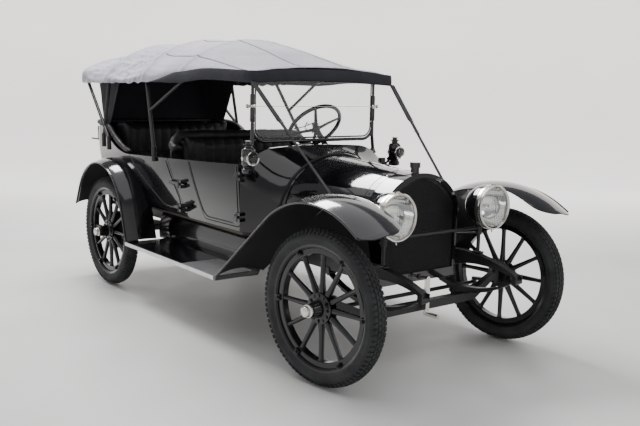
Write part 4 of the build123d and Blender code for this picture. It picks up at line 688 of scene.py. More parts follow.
def tyre_piece():
    """Straight-sided tyre: bead, side wall with moulded rings, shoulder ridges and a block tread."""
    wall = []
    for k in range(25):
        angle = radians(-118 + 236 * k / 24)
        bulge = 0.0495 + (0.0018 if abs(abs(degrees(angle)) - 84) < 6 else 0)
        wall.append((0.3585 + 0.0475 * cos(angle), bulge * sin(angle)))
    parts = [wheel_ring("tyre", [(0.3245, -0.031)] + wall + [(0.3245, 0.031)], tyre_rubber, 120, 50)]
    places, shoulder = [], []
    for row, reach in enumerate(tread_rows):
        drop = 0.0095 * (abs(reach) / tread_rows[-1]) ** 2
        for point, out, along in around(tread_radius - drop, reach, tread_pitches, 0.5 * (row % 2)):
            places.append((point, (out + Vector((0, reach * 7.0, 0))).normalized(), along))
    for side in (-1, 1):
        for point, out, along in around(shoulder_radius, side * 0.0425, tread_pitches):
            shoulder.append((point, (out + Vector((0, side * 1.5, 0))).normalized(), along))
    parts.append(ribs("tread", places, (0.021, 0.0125, 0.0085), tyre_rubber))
    parts.append(ribs("tread_edge", shoulder, (0.011, 0.014, 0.006), tyre_rubber))
    for radius, reach in ((0.349, 0.0487), (0.372, 0.0478)):
        for side in (-1, 1):
            ring = [row[1] * radius + Vector((0, side * reach, 0)) for row in around(radius, 0, 96)]
            parts.append(tube("ring", ring, 0.0012, tyre_rubber, 6, True, (0, 1, 0)))
    return join("tyre", parts)


# Sections of a spoke: radius, half width, half depth and how square it is
spoke_rows = ((0.05, 0.0135, 0.0205, 3.6), (0.08, 0.0175, 0.0205, 3.2), (0.098, 0.0165, 0.0185, 2.4),
              (0.13, 0.015, 0.016, 2.0), (0.19, 0.0135, 0.0145, 2.0), (0.245, 0.0125, 0.014, 2.0),
              (0.268, 0.0135, 0.015, 2.0), (0.281, 0.0165, 0.0175, 2.2))


def spoke(angle):
    """One tapered oval spoke, thick and wedge-shaped at the hub."""
    out = Vector((sin(angle), 0, cos(angle)))
    across = Vector((cos(angle), 0, -sin(angle)))
    rings = []
    for radius, half_wide, half_deep, power in spoke_rows:
        ring = []
        for k in range(16):
            turn = 2 * pi * k / 16
            c, s = cos(turn), sin(turn)
            ring.append(out * radius + across * half_wide * abs(c) ** (2 / power) * (1 if c > 0 else -1)
                        + Vector((0, 1, 0)) * half_deep * abs(s) ** (2 / power) * (1 if s > 0 else -1))
        rings.append(ring)
    return solid("spoke", *skin(rings), wheel_paint, sharp=60)


def both_sides(half):
    """A closed profile that is the same on both sides of the wheel's middle."""
    mirrored = [(r, -h) for r, h in half]
    return mirrored[:1] + half + mirrored[:0:-1]


# A wheel's turned parts: profile of (radius, outward), finish and count round
felloe_half = [(0.2785, 0.019), (0.283, 0.0228), (0.309, 0.0228), (0.312, 0.02)]
band_half = [(0.3118, 0.03), (0.3155, 0.0325), (0.3178, 0.03)]
rim_half = [(0.3175, 0.034), (0.323, 0.0372), (0.331, 0.04), (0.3345, 0.0385), (0.3335, 0.0345),
            (0.3265, 0.0322), (0.3232, 0.028)]
wheel_rings = {
    "felloe": (both_sides(felloe_half), wheel_paint, 96),
    "felloe_band": (both_sides(band_half), chassis_paint, 96),
    "rim": (both_sides(rim_half), wheel_paint, 120),
    "hub_flange": ([(0.03, 0.0208), (0.082, 0.0208), (0.0835, 0.0235), (0.0815, 0.0272), (0.07, 0.029),
                    (0.054, 0.0305), (0.047, 0.036), (0.03, 0.036)], wheel_paint, 64),
    "hub_back": ([(0.024, -0.0208), (0.082, -0.0208), (0.0825, -0.0275), (0.05, -0.0295),
                  (0.044, -0.042), (0.024, -0.042)], wheel_paint, 64),
    "hub_barrel": ([(0.02, 0.028), (0.045, 0.03), (0.0435, 0.048), (0.0395, 0.07), (0.0385, 0.092),
                    (0.02, 0.092)], wheel_paint, 48),
    "drum": ([(0.06, -0.024), (0.138, -0.024), (0.14, -0.03), (0.14, -0.066), (0.134, -0.066),
              (0.134, -0.034), (0.06, -0.032)], chassis_paint, 72),
}
bolt_circle, clamp_circle = 0.067, 0.306


def wheel_piece(front):
    """Artillery wheel: twelve spokes, felloe, steel rim with its clamps, hub, flange and bolts."""
    def rings(*names):
        return [wheel_ring(name, *wheel_rings[name]) for name in names]

    parts = [spoke(2 * pi * k / spoke_count) for k in range(spoke_count)]
    parts += rings("felloe", "felloe_band", "rim")
    clamps = list(around(clamp_circle, 0.0285, 6, 0.5))
    parts.append(ribs("rim_clamps", clamps, (0.03, 0.014, 0.03), wheel_paint))
    nuts = [(row[0] + Vector((0, 0.01, 0)), (0, 1, 0)) for row in clamps]
    parts.append(fasteners("clamp_nuts", nuts, 0.0075, 0.01, chassis_paint))
    parts += rings("hub_flange", "hub_back", "hub_barrel")
    bolts = (("flange_bolts", 0.0, 0.0072, 0.009, 6), ("spoke_bolts", 0.5, 0.0052, 0.005, 12))
    for name, start, radius, height, sides in bolts:
        places = [(row[0], (0, 1, 0)) for row in around(bolt_circle, 0.031, 6, start)]
        parts.append(fasteners(name, places, radius, height, wheel_paint, sides))
    if not front:
        parts += rings("drum")
    valve = (("valve_stem", 0.279, 0.246, 0.0042), ("valve_cap", 0.25, 0.236, 0.0058))
    for name, outer, inner, radius in valve:
        parts.append(tube(name, [(0, 0.004, outer), (0, 0.004, inner)], radius, nickel, 10, up=(1, 0, 0)))
    return join("wheel", parts)


def cap_piece():
    """Plated hub cap: collar, waist and a crowned dome."""
    return wheel_ring("hub_cap", [(0.0, 0.1335), (0.01, 0.1332), (0.019, 0.1318), (0.0255, 0.1285),
                                  (0.0285, 0.1235), (0.029, 0.115), (0.0275, 0.111), (0.029, 0.108),
                                  (0.034, 0.106), (0.034, 0.0985), (0.03, 0.095), (0.028, 0.0885),
                                  (0.0, 0.0885)], nickel, 48, 28)


def placed_copy(source, name, matrix):
    """A copy of a piece with its mesh moved by the matrix."""
    mesh = source.data.copy()
    mesh.transform(matrix)
    return placed(name, mesh)


rubber_source, cap_source = tyre_piece(), cap_piece()
wheel_source = {"front": wheel_piece(True), "rear": wheel_piece(False)}
for place, side in WHEELS:
    matrix = wheel_place(*wheel_pose(place, side))
    body = f"wheel_{place}"
    fit(placed_copy(rubber_source, f"block_tread_{place}", matrix), body, "tyre", f"tyre_{place}")
    fit(placed_copy(wheel_source[place.split("_")[0]], f"artillery_wheel_{place}", matrix), body,
        "wheel_black", f"wheel_{place}")
    fit(placed_copy(cap_source, f"hub_cap_{place}", matrix), body, "nickel")
for source in (rubber_source, cap_source, *wheel_source.values()):
    bpy.data.objects.remove(source)


# Lamps
lamp_x, lamp_y, lamp_z = 1.694, 0.37, 0.874
lamp_rim = [(0.1125, -0.004), (0.1185, 0.0005), (0.1235, 0.0), (0.1265, -0.004), (0.1272, -0.012),
            (0.125, -0.016), (0.1262, -0.02), (0.127, -0.03), (0.1262, -0.044), (0.1235, -0.046),
            (0.1225, -0.018), (0.1165, -0.012), (0.1125, -0.01)]
lamp_shell = [(0.1232, -0.03), (0.1232, -0.074), (0.1205, -0.094), (0.112, -0.118), (0.096, -0.144),
              (0.072, -0.168), (0.04, -0.184), (0.0, -0.19), (0.0, -0.186), (0.038, -0.18),
              (0.069, -0.165), (0.093, -0.141), (0.109, -0.115), (0.1175, -0.092), (0.12, -0.074),
              (0.12, -0.03)]
lamp_bowl = [(0.1195, -0.02), (0.115, -0.04), (0.098, -0.078), (0.07, -0.108), (0.038, -0.126),
             (0.0, -0.132)]
lamp_bulb = [(0.0, -0.052), (0.009, -0.055), (0.0135, -0.064), (0.0125, -0.076), (0.009, -0.086),
             (0.009, -0.126), (0.0, -0.126)]
stem_foot_z = 0.5945


def lamp_ring(name, profile, side, finish, count=72):
    """A part turned about a headlamp's axis."""
    return lathe(name, profile, (lamp_x, side * lamp_y, lamp_z), (1, 0, 0), finish, count, sharp=30.0)


def fluted_lens(side):
    """The lens: a shallow dome with vertical flutes that fade at its edge."""
    radius, count, rows = 0.1145, 96, 16
    crown, wall, flute_pitch, flute_depth = 0.01, 0.004, 0.0145, 0.0014
    centre = Vector((lamp_x - 0.006, side * lamp_y, lamp_z))
    rings = []
    for i in range(rows + 1):
        r = radius * i / rows
        ring = []
        for k in range(count):
            angle = 2 * pi * k / count
            y, z = r * cos(angle), r * sin(angle)
            flute = flute_depth * cos(y * 2 * pi / flute_pitch) * min(1.0, (radius - r) / 0.012)
            ring.append(centre + Vector((crown * (1 - (r / radius) ** 2) + flute - 0.003, y, z)))
        rings.append(ring)
    back = [[p - Vector((wall, 0, 0)) for p in ring] for ring in reversed(rings)]
    return solid(f"fluted_lens_{side}", *skin(rings + back, cap=False), lamp_glass, sharp=60)


lamp_shells, lamp_rings, lamp_lenses, reflectors = [], [], [], []
for name, side in SIDES:
    centre = Vector((lamp_x, side * lamp_y, lamp_z))
    lamp_rings.append(lamp_ring("rim", lamp_rim, side, nickel))
    lamp_shells.append(lamp_ring("shell", lamp_shell, side, black_paint))
    thick_bowl = lamp_bowl + [(r * 0.985, h - 0.003) for r, h in reversed(lamp_bowl)]
    reflectors.append(lamp_ring("bowl", thick_bowl, side, reflector))
    reflectors.append(lamp_ring("bulb", lamp_bulb, side, nickel, 24))
    lamp_lenses.append(fluted_lens(side))
    hinge = centre + Vector((-0.022, 0, 0.1285))
    hinge_pin = [hinge + Vector((0, -0.014, 0)), hinge + Vector((0, 0.014, 0))]
    lamp_rings.append(tube("hinge", hinge_pin, 0.005, nickel, 10))
    catch = centre + Vector((-0.022, 0, -0.1285))
    lamp_rings.append(tube("catch", [catch, catch + Vector((0.004, 0, -0.016))], 0.004, nickel, 10,
                           up=(0, 1, 0)))
    ear = centre + Vector((-0.114, 0, -0.118))
    stand = (("socket", 0.01, ear.z - 0.05, 0.0175, 16), ("stem", -0.03, stem_foot_z, 0.0108, 14))
    for part, top, foot, radius, count in stand:
        line = [ear + Vector((0, 0, top)), Vector((ear.x, ear.y, foot))]
        lamp_shells.append(tube(part, line, radius, chassis_paint, count, up=(1, 0, 0)))
    lamp_shells.append(block("foot", (ear.x - 0.031, ear.y - 0.018, stem_foot_z),
                             (ear.x + 0.031, ear.y + 0.018, stem_foot_z + 0.01), chassis_paint, 0.003))
    brace = [centre + Vector((-0.11, -side * 0.01, -0.16)), Vector((1.47, side * 0.3, 0.7))]
    lamp_shells.append(tube("brace", brace, 0.006, chassis_paint, 10))
bar_x, bar_z = lamp_x - 0.114, lamp_z - 0.118 - 0.013
lamp_bar = [(bar_x, -lamp_y, bar_z), (bar_x, lamp_y, bar_z)]
lamp_shells.append(tube("lamp_bar", lamp_bar, 0.0088, chassis_paint, 14))
fit(join("headlamp_shells", lamp_shells), "car", "chassis_black", "headlamps")
fit(join("headlamp_rings", lamp_rings), "car", "nickel", "headlamp_rims")
fit(join("headlamp_lenses", lamp_lenses), "car", "glass", "headlamp_glass")
fit(join("headlamp_bowls", reflectors), "car", "nickel")

side_lamp = Vector((0.607, 0.59, 1.1))
snout, snout_half = 0.052, 0.0405
side_body = [(0.0, 0.104), (0.02, 0.103), (0.0215, 0.099), (0.016, 0.096), (0.016, 0.088), (0.029, 0.085),
             (0.03, 0.08), (0.02, 0.074), (0.021, 0.066), (0.033, 0.06), (0.0405, 0.05),
             (0.0415, 0.042), (0.0415, -0.034), (0.037, -0.044), (0.03, -0.05), (0.03, -0.056),
             (0.0375, -0.062), (0.0385, -0.078), (0.034, -0.088), (0.016, -0.094), (0.0, -0.095)]
snout_body = [(0.0, -0.04), (0.03, -0.038), (snout_half - 0.004, -0.02), (snout_half, 0.0),
              (snout_half, snout - 0.01), (snout_half + 0.001, snout), (snout_half - 0.006, snout + 0.002),
              (0.0, snout - 0.006)]
snout_ring = [(snout_half - 0.007, snout - 0.004), (snout_half + 0.0015, snout - 0.006),
              (snout_half + 0.003, snout), (snout_half, snout + 0.006), (snout_half - 0.007, snout + 0.003)]
bulls_eye = [(0.0, snout + 0.012), (0.014, snout + 0.0105), (0.026, snout + 0.006),
             (snout_half - 0.006, snout), (snout_half - 0.006, snout - 0.005), (0.0, snout - 0.005)]
side_jewel = [(0.0, 0.046), (0.008, 0.0455), (0.012, 0.043), (0.012, 0.038), (0.0, 0.038)]
side_shells, side_trim, side_lenses = [], [], []
for name, side in SIDES:
    centre = Vector((side_lamp.x, side * side_lamp.y, side_lamp.z))
    side_shells.append(lathe("lamp_body", side_body, centre, (0, 0, 1), black_paint, 40))
    side_shells.append(lathe("snout", snout_body, centre, (1, 0, 0), black_paint, 40))
    side_trim.append(lathe("snout_ring", snout_ring, centre, (1, 0, 0), nickel, 40))
    side_lenses.append(lathe("bulls_eye", bulls_eye, centre, (1, 0, 0), lamp_glass, 40))
    side_trim.append(lathe("side_jewel", side_jewel, centre, (0, side, 0), nickel, 24))
    bracket = [centre + Vector((-0.036, 0, -0.03)), centre + Vector((-0.06, -side * 0.006, -0.05)),
               Vector((0.56, side * 0.585, 1.045)), Vector((0.545, side * 0.555, 1.01))]
    side_shells.append(tube("lamp_arm", smooth_path(bracket, 5), 0.008, chassis_paint, 10))
fit(join("side_lamp_bodies", side_shells), "car", "body_black", "side_lamps")
fit(join("side_lamp_rings", side_trim), "car", "nickel")
fit(join("side_lamp_lenses", side_lenses), "car", "glass")


# Radiator
# The core's opening: half width, foot, height, and where its corners are cut off and its arch starts
core_half, core_low, core_depth, core_corner, core_arch = 0.262, 0.512, 0.56, 0.862, 0.99
cell_pitch, cell_rise, core_face_x = 0.0125, 0.87, 1.4685


def honeycomb():
    """The core's face: six-sided cells inside the shell's opening."""
    rise = cell_pitch * cell_rise
    places = []
    for row in range(int(core_depth / rise)):
        z = core_low + row * cell_pitch * cell_rise
        edge = core_half if z < core_corner else core_half - (z - core_corner) * 0.95
        if z > core_arch:
            edge = min(edge, 0.128 - (z - core_arch) * 2.2)
        if edge <= 0:
            continue
        count = int(edge / cell_pitch)
        for k in range(-count, count + 1):
            y = (k + 0.5 * (row % 2)) * cell_pitch
            if abs(y) < edge:
                places.append((Vector((core_face_x, y, z)), (1, 0, 0), (0, 1, 0)))
    return places


def cell_tree():
    """One open six-sided cell, repeated over the core."""
    tree = bpy.data.node_groups.new("core_cells", "GeometryNodeTree")
    rows = tree_inputs(tree, ("Radius", "NodeSocketFloat", 0.006), ("Height", "NodeSocketFloat", 0.004),
                       ("Finish", "NodeSocketMaterial", None))
    source = tree.nodes.new("NodeGroupInput")
    wall = add_node(tree, "GeometryNodeMeshCylinder", fill_type="NONE", Vertices=6)
    wire(tree, (source.outputs["Radius"], wall.inputs["Radius"]),
         (source.outputs["Height"], wall.inputs["Depth"]))
    finish_tree(tree, source, wall.outputs["Mesh"], turned_to(tree, "Z", stored(tree, "facing")))
    return tree, rows


CELLS, CELL_ROWS = cell_tree()
fit(repeated("honeycomb", CELLS, CELL_ROWS, honeycomb(), core_metal, Radius=0.0068, Height=0.0045), "car",
    "core")
cap = [(0.0, 1.1215), (0.02, 1.121), (0.0265, 1.118), (0.029, 1.114), (0.029, 1.108),
       (0.0255, 1.105), (0.0215, 1.103), (0.02, 1.086), (0.0225, 1.07), (0.03, 1.06),
       (0.033, 1.056), (0.0, 1.056)]
fit(lathe("filler_neck", cap, (1.415, 0, 0), (0, 0, 1), black_paint, 40), "car", "body_black")


# The cloth top
# Columns: x, half width, hem z, shoulder z, crown z, as the bows hold them
top_rows = ((0.59, 0.56, 1.56, 1.608, 1.65), (0.11, 0.596, 1.575, 1.64, 1.79),
            (-0.224, 0.6, 1.554, 1.625, 1.85), (-0.776, 0.602, 1.54, 1.6, 1.868),
            (-1.476, 0.602, 1.53, 1.58, 1.858), (-1.94, 0.6, 1.53, 1.63, 1.775))
bow_lines = (0.56, -0.224, -0.79, -1.476, -1.925)
top_length = top_rows[0][0] - top_rows[-1][0]
top_along, top_across = 128, 92
roof_cap, cloth_wall = 0.04, 0.0022


def top_section(x):
    """Half width, hem, shoulder and crown of the cloth top at x, on a smooth line through the rows."""
    rows = top_rows
    k = max(i for i in range(len(rows) - 1) if x <= rows[i][0] + 1e-9)
    before, first, second, after = rows[max(k - 1, 0)], rows[k], rows[k + 1], rows[min(k + 2, len(rows) - 1)]
    t = (first[0] - x) / (first[0] - second[0])
    found = []
    for c in range(1, 5):
        span = first[0] - second[0]
        start = (second[c] - before[c]) / (before[0] - second[0]) * span if k else second[c] - first[c]
        stop = (after[c] - first[c]) / (first[0] - after[0]) * span
        found.append((2 * t ** 3 - 3 * t ** 2 + 1) * first[c] + (t ** 3 - 2 * t ** 2 + t) * start
                     + (3 * t ** 2 - 2 * t ** 3) * second[c] + (t ** 3 - t ** 2) * stop)
    return found


def roof_arc(x, y, inset=0.0):
    """Height of the roof's arc at a place under or on the cloth top."""
    half, hem, shoulder, crown = top_section(x)
    half, rise = half - inset, crown - shoulder
    radius = (half ** 2 + rise ** 2) / (2 * rise)
    return crown - inset - radius + sqrt(max(radius ** 2 - min(abs(y), half) ** 2, 0.0))


def top_ring(x, count, inset=0.0):
    """Points of the cloth across the car at x, from hem to hem, with an eased shoulder."""
    half, hem, shoulder, crown = top_section(x)
    half -= inset
    line = []
    for k in range(161):
        y = half * (2 * k / 160 - 1)
        line.append(Vector((x, y, roof_arc(x, y, inset))))
    line = ([Vector((x, -half, hem + (line[0].z - hem) * k / 12)) for k in range(12)] + line
            + [Vector((x, half, line[-1].z + (hem - line[-1].z) * (k + 1) / 12)) for k in range(12)])
    for _ in range(36):
        line = [line[0]] + [(a + 2 * b + c) / 4 for a, b, c in zip(line, line[1:], line[2:])] + [line[-1]]
    return even_points(line, count)


def near_bow(x):
    """How far a place lies from the nearest bow, along the car."""
    return min(abs(x - line) for line in bow_lines)


def slack(x, v):
    """How much spare cloth hangs here: most between the rear bows and near their hems."""
    rear = 1.0 / (1.0 + np.exp((x + 0.8) * 30.0))
    return float(rear * (0.55 + 0.45 * min(1.0, abs(v) * 1.4)) + 0.1)


def cloth_run(piece, frames, gravity, pressure, **settings):
    """Runs a cloth with these settings on the piece, and gives its points as they end."""
    step = piece.modifiers.new("cloth", "CLOTH")
    for key, value in settings.items():
        setattr(step.settings, key, value)
    step.settings.effector_weights.gravity = gravity
    if pressure:
        step.settings.use_pressure = True
        step.settings.uniform_pressure_force = pressure
    step.collision_settings.use_collision = False
    step.collision_settings.use_self_collision = False
    step.point_cache.frame_start, step.point_cache.frame_end = 1, frames
    scene = bpy.context.scene
    for number in range(1, frames + 1):
        scene.frame_set(number)
    graph = bpy.context.evaluated_depsgraph_get()
    moved = [v.co.copy() for v in piece.evaluated_get(graph).data.vertices]
    scene.frame_set(1)
    return moved


def sim_sheet(name, verts, faces, hold, spare, frames, gravity):
    """A sheet whose held points stay while the rest sags and settles, read back as points."""
    mesh = bpy.data.meshes.new(name)
    mesh.from_pydata([tuple(v) for v in verts], [], faces)
    piece = placed(name, mesh)
    for label, weights in (("hold", hold), ("spare", spare)):
        group = piece.vertex_groups.new(name=label)
        for index, weight in enumerate(weights):
            group.add([index], float(weight), "REPLACE")
    moved = cloth_run(piece, frames, gravity, 0.0, quality=6, mass=0.25, tension_stiffness=30.0,
                      compression_stiffness=30.0, shear_stiffness=12.0, bending_stiffness=0.35,
                      air_damping=2.0, vertex_group_mass="hold", pin_stiffness=1.0,
                      vertex_group_shrink="spare", shrink_min=0.0, shrink_max=-0.085)
    bpy.data.objects.remove(piece)
    return moved


def held_back(start, moved, cap):
    """Each point moves no further than the cap, eased as it nears it."""
    kept = []
    for a, b in zip(start, moved):
        away = b - a
        far = away.length
        kept.append(a + away * (cap * np.tanh(far / cap) / far if far > 1e-9 else 1.0))
    return kept


def sheet_normals(points, faces):
    """The normal at each point of a sheet."""
    mesh = bpy.data.meshes.new("normals")
    mesh.from_pydata([tuple(p) for p in points], [], faces)
    found = [v.normal.copy() for v in mesh.vertices]
    bpy.data.meshes.remove(mesh)
    return found


def crinkle(place, size, seed):
    """Billowed cloth: rounded puffs that meet in sharp creases, from two noises."""
    warp = noise.noise_vector(place * (1.7 / size) + Vector((seed, 2.1, 7.7)))
    p = place / size + warp * 0.55
    first = 1.0 - abs(noise.noise(p * 1.25 + Vector((seed, 0, 0)))) * 2.2
    second = 1.0 - abs(noise.noise(p * 2.9 + Vector((0, seed, 3.3)))) * 2.2
    return 0.68 * first + 0.32 * second


def cloth_top():
    """The roof sheet over its bows: taut and seamed in front, puffed and crinkled behind."""
    rings = []
    for i in range(top_along + 1):
        x = top_rows[0][0] - top_length * i / top_along
        rings.append(top_ring(x, top_across))
    verts, faces = skin(rings, closed_ring=False, cap=False)
    width = top_across + 1
    shares = [2.0 * (k % width) / top_across - 1.0 for k in range(len(verts))]
    hold, spare = [], []
    for point, v in zip(verts, shares):
        bow = np.exp(-(near_bow(point.x) / 0.016) ** 2)
        front = 1.0 / (1.0 + np.exp(-(point.x + 0.62) * 26.0))
        rail = front * np.exp(-((1 - abs(v)) / 0.13) ** 2)
        ends = 1.0 if point.x > 0.56 or point.x < -1.92 else 0.0
        hem = 0.35 * np.exp(-((1 - abs(v)) / 0.03) ** 2)
        hold.append(min(1.0, max(bow, rail, ends, 0.3 * front, hem)))
        spare.append(min(1.0, slack(point.x, v)))
    moved = held_back(verts, sim_sheet("top_run", verts, faces, hold, spare, 26, 0.25), roof_cap)
    normals = sheet_normals(verts, faces)
    shaped = []
    for point, start, normal, v, loose in zip(moved, verts, normals, shares, spare):
        ridge = 0.007 * np.exp(-(near_bow(start.x) / 0.02) ** 2)
        sag = 0.0
        for front, rear in zip(bow_lines, bow_lines[1:]):
            if rear < start.x < front:
                t = (front - start.x) / (front - rear)
                sag = (0.01 + 0.016 * loose) * sin(pi * t) ** 0.7 * (1.0 - 0.6 * abs(v) ** 6)
        puff = 0.019 * loose * (crinkle(start, 0.15, 9.0) - 0.45) * min(1.0, near_bow(start.x) / 0.05)
        pull = noise.noise(Vector((start.x * 1.6, start.y * 7.5 + start.x * 2.5, 3.0)))
        tension = 0.0035 * (1 - loose) * pull
        flutter = noise.noise(Vector((start.x * 13.0, 1.0, 5.0)))
        hem = 0.012 * loose * flutter * max(0.0, abs(v) - 0.93) / 0.07
        at = point + normal * float(ridge - sag + puff + tension)
        shaped.append(at + Vector((0, 0, hem)))
    piece = solid("cloth_top", shaped, faces, top_cloth, merge=False)
    bpy.context.view_layer.update()
    step = piece.modifiers.new("finer", "SUBSURF")
    step.levels = step.render_levels = 1
    apply_modifiers(piece)
    return piece


def facing_up(piece):
    """Turns the sheet's faces over where they look down."""
    total = sum((p.normal.z * p.area for p in piece.data.polygons), 0.0)
    if total < 0:
        piece.data.flip_normals()


def thicken(piece, thickness, inside):
    """A wall on the inner side with the lining's finish."""
    piece.data.materials.append(inside)
    step = piece.modifiers.new("wall", "SOLIDIFY")
    step.thickness = thickness
    step.offset = -1.0
    step.material_offset = 1
    step.use_rim = True
    apply_modifiers(piece)
    shade(piece.data, 60)
    return piece


valance_cloth = cloth("valance_cloth", (0.012, 0.013, 0.019), (0.028, 0.029, 0.04), sheen=0.03)
seam_cloth = cloth("seam_cloth", (0.05, 0.05, 0.068), (0.09, 0.09, 0.118))
curtain_cloth = cloth("curtain_outside", (0.009, 0.01, 0.015), (0.022, 0.023, 0.032), sheen=0.04)
roof = cloth_top()
facing_up(roof)
hem_points = {side: [] for side in (-1, 1)}
for i in range(0, top_along + 1, 2):
    x = top_rows[0][0] - top_length * i / top_along
    ring = top_ring(x, top_across)
    hem_points[-1].append(ring[0])
    hem_points[1].append(ring[-1])
roof = thicken(roof, cloth_wall, top_lining)

# The dark valance: a stiff band along each side and across the front, rounded at its rear ends
valance_rear_x, valance_height, valance_stand, valance_corner = -0.7, 0.058, 0.006, 0.035
valance_outline = ((-0.004, -0.22), (0.0015, -0.26), (0.006, -0.16), (0.0075, 0.1), (0.007, 0.45),
                   (0.0045, 0.8), (0.0005, 0.98), (-0.003, 0.97), (-0.003, 0.4))


def valance():
    """The band's outline carried along one side's hem, round the front, and back along the other."""
    front_x, rise = top_rows[0][0], top_rows[0][2]
    line = [Vector(p) for p in reversed(hem_points[-1]) if valance_rear_x < p.x < front_x - valance_corner]
    for k in range(9):
        a = pi / 2 * k / 8
        line.append(Vector((front_x - valance_corner + valance_corner * sin(a),
                            -0.56 + valance_corner * (1 - cos(a)), rise)))
    for k in range(1, 40):
        y = -0.525 + 1.05 * k / 40
        line.append(Vector((front_x, y, rise + 0.02 * (1 - (y / 0.525) ** 2))))
    line += [Vector((p.x, -p.y, p.z)) for p in reversed(line[:len(line) - 39])]
    rings = []
    for index, p in enumerate(line):
        before, after = line[max(index - 1, 0)], line[min(index + 1, len(line) - 1)]
        along = (after - before).normalized()
        out = along.cross(Vector((0, 0, 1))).normalized()
        end = min(1.0, (p.x - valance_rear_x) / 0.4) if p.x < -0.2 else 1.0
        tall = valance_height * max(0.04, end) ** 1.2
        rings.append([p + out * (valance_stand + u) + Vector((0, 0, w * tall)) for u, w in valance_outline])
    return solid("valance", *skin(rings), valance_cloth, sharp=50)


band = valance()
seams = []


def seam_line(name, ends, count=60, lean=0.0):
    """A felled seam laid on the cloth between two (x, y) places, with its edge turned over."""
    path = []
    for k in range(count + 1):
        t = k / count
        x = ends[0][0] + (ends[1][0] - ends[0][0]) * t
        y = ends[0][1] + (ends[1][1] - ends[0][1]) * t
        hit = roof_tree.ray_cast(Vector((x, y, 2.2)), Vector((0, 0, -1)))
        if hit[0] is not None:
            path.append(hit[0] + Vector((0, 0, 0.0008)))
    outline = [(-0.006, 0.0), (-0.005, 0.0013), (0.004, 0.0016), (0.006, 0.0002), (0.004, -0.002),
               (-0.005, -0.002)]
    return solid(name, *swept(path, outline, (0, lean, sqrt(1 - lean ** 2))), seam_cloth, sharp=60)


roof_work = bmesh.new()
roof_work.from_mesh(roof.data)
roof_tree = BVHTree.FromBMesh(roof_work)
roof_work.free()
for side in (-1, 1):
    seams.append(seam_line("seam", [(-0.83, side * 0.1), (0.57, side * 0.2)], 70, side * 0.2))
    seams.append(seam_line("seam", [(-0.77, side * 0.42), (0.5, side * 0.535)], 80, side * 0.58))
seams.append(seam_line("seam", [(-0.8, -0.5), (-0.8, 0.5)], 50))
roof = join("cloth_top", [roof, band] + seams)
fit(roof, "car", "canopy_cloth", "top_canopy")

# The back curtain, with its two wings round the rear corners
curtain_half, curtain_corner, curtain_foot_z, curtain_wall = 0.526, 0.07, 1.2, 0.002
wing_edge = ((1.7, -1.372), (1.541, -1.372), (1.255, -1.528), (1.2, -1.562))


def curtain_back_x(z):
    """Where the curtain's back lies at a height."""
    return -1.743 - 0.145 * (z - 1.214) / 0.586


def wing_x(z):
    """Where the edge of the curtain's wing lies at a height."""
    rows = wing_edge
    if z >= rows[0][0]:
        return rows[0][1]
    for (z1, x1), (z0, x0) in zip(rows, rows[1:]):
        if z >= z0:
            return x0 + (x1 - x0) * (z - z0) / (z1 - z0)
    return rows[-1][1]


def curtain_plan(z, count):
    """The curtain's line in plan at a height, from one wing's edge round the back to the other's."""
    back, edge = curtain_back_x(z), wing_x(z)
    line = [Vector((edge, -curtain_half, z))]
    line += [Vector((edge + (back + curtain_corner - edge) * k / 12, -curtain_half, z))
             for k in range(1, 12)]
    for k in range(9):
        a = pi / 2 * k / 8
        line.append(Vector((back + curtain_corner * (1 - sin(a)),
                            -curtain_half + curtain_corner * (1 - cos(a)), z)))
    line += [Vector((back, -curtain_half + curtain_corner + (curtain_half - curtain_corner) * k / 20, z))
             for k in range(1, 21)]
    line += [Vector((p.x, -p.y, p.z)) for p in reversed(line[:-1])]
    return even_points(line, count)


def back_curtain():
    """Pleated a little at the top, drawn tight at the bottom rail."""
    rows, across = 34, 150
    rings = []
    for i in range(rows + 1):
        share = i / rows
        ring = []
        for k in range(across + 1):
            side_share = abs(2 * k / across - 1)
            top = 1.62
            for _ in range(4):
                place = curtain_plan_at(top, k, across)
                top = roof_arc(max(place.x, top_rows[-1][0] + 0.01), place.y, 0.02)
            place = curtain_plan_at(curtain_foot_z + (top - curtain_foot_z) * share, k, across)
            fold = 0.007 * share * noise.noise(Vector((k * 0.16, share * 0.5, 8.0)))
            drape = 0.006 * noise.noise(Vector((k * 0.05 + share, share * 2.6, 1.0)))
            out = Vector((-1, 0, 0)) if side_share < 0.6 else Vector((0, -1 if k < across / 2 else 1, 0))
            ring.append(place - out * (abs(fold) * 1.6 + abs(drape)))
        rings.append(ring)
    return solid("curtain_cloth", *skin(rings, closed_ring=False, cap=False), curtain_cloth, merge=False)


plan_cache = {}


def curtain_plan_at(z, k, count):
    """One point of the curtain's line in plan, kept for the next time it is asked for."""
    key = round(z, 3)
    if key not in plan_cache:
        plan_cache[key] = curtain_plan(key, count)
    point = plan_cache[key][k]
    return Vector((point.x, point.y, z))


curtain = back_curtain()
middle = [p for p in curtain.data.polygons if abs(p.center.y) < 0.3]
if sum(p.normal.x * p.area for p in middle) > 0:
    curtain.data.flip_normals()
curtain = thicken(curtain, curtain_wall, top_lining)
fit(curtain, "car", "canopy_cloth", "back_curtain")


# Seats, each cushion and back its own padded piece
# Columns: name, low corner, high corner, the way its face looks, pleat pitch
seat_pads = (
    ("front_cushion", (-0.374, -0.494, 0.846), (0.052, 0.494, 0.948), "up", 0.082),
    ("front_back", (-0.462, -0.494, 0.868), (-0.388, 0.494, 1.178), "front", 0.082),
    ("rear_cushion", (-1.384, -0.454, 0.866), (-0.968, 0.454, 0.968), "up", 0.0825),
    ("rear_back", (-1.552, -0.497, 0.908), (-1.398, 0.497, 1.228), "front", 0.0825),
)
pad_voxel, pad_swell_cap, pad_crown, pleat_depth = 0.013, 0.024, 0.006, 0.011


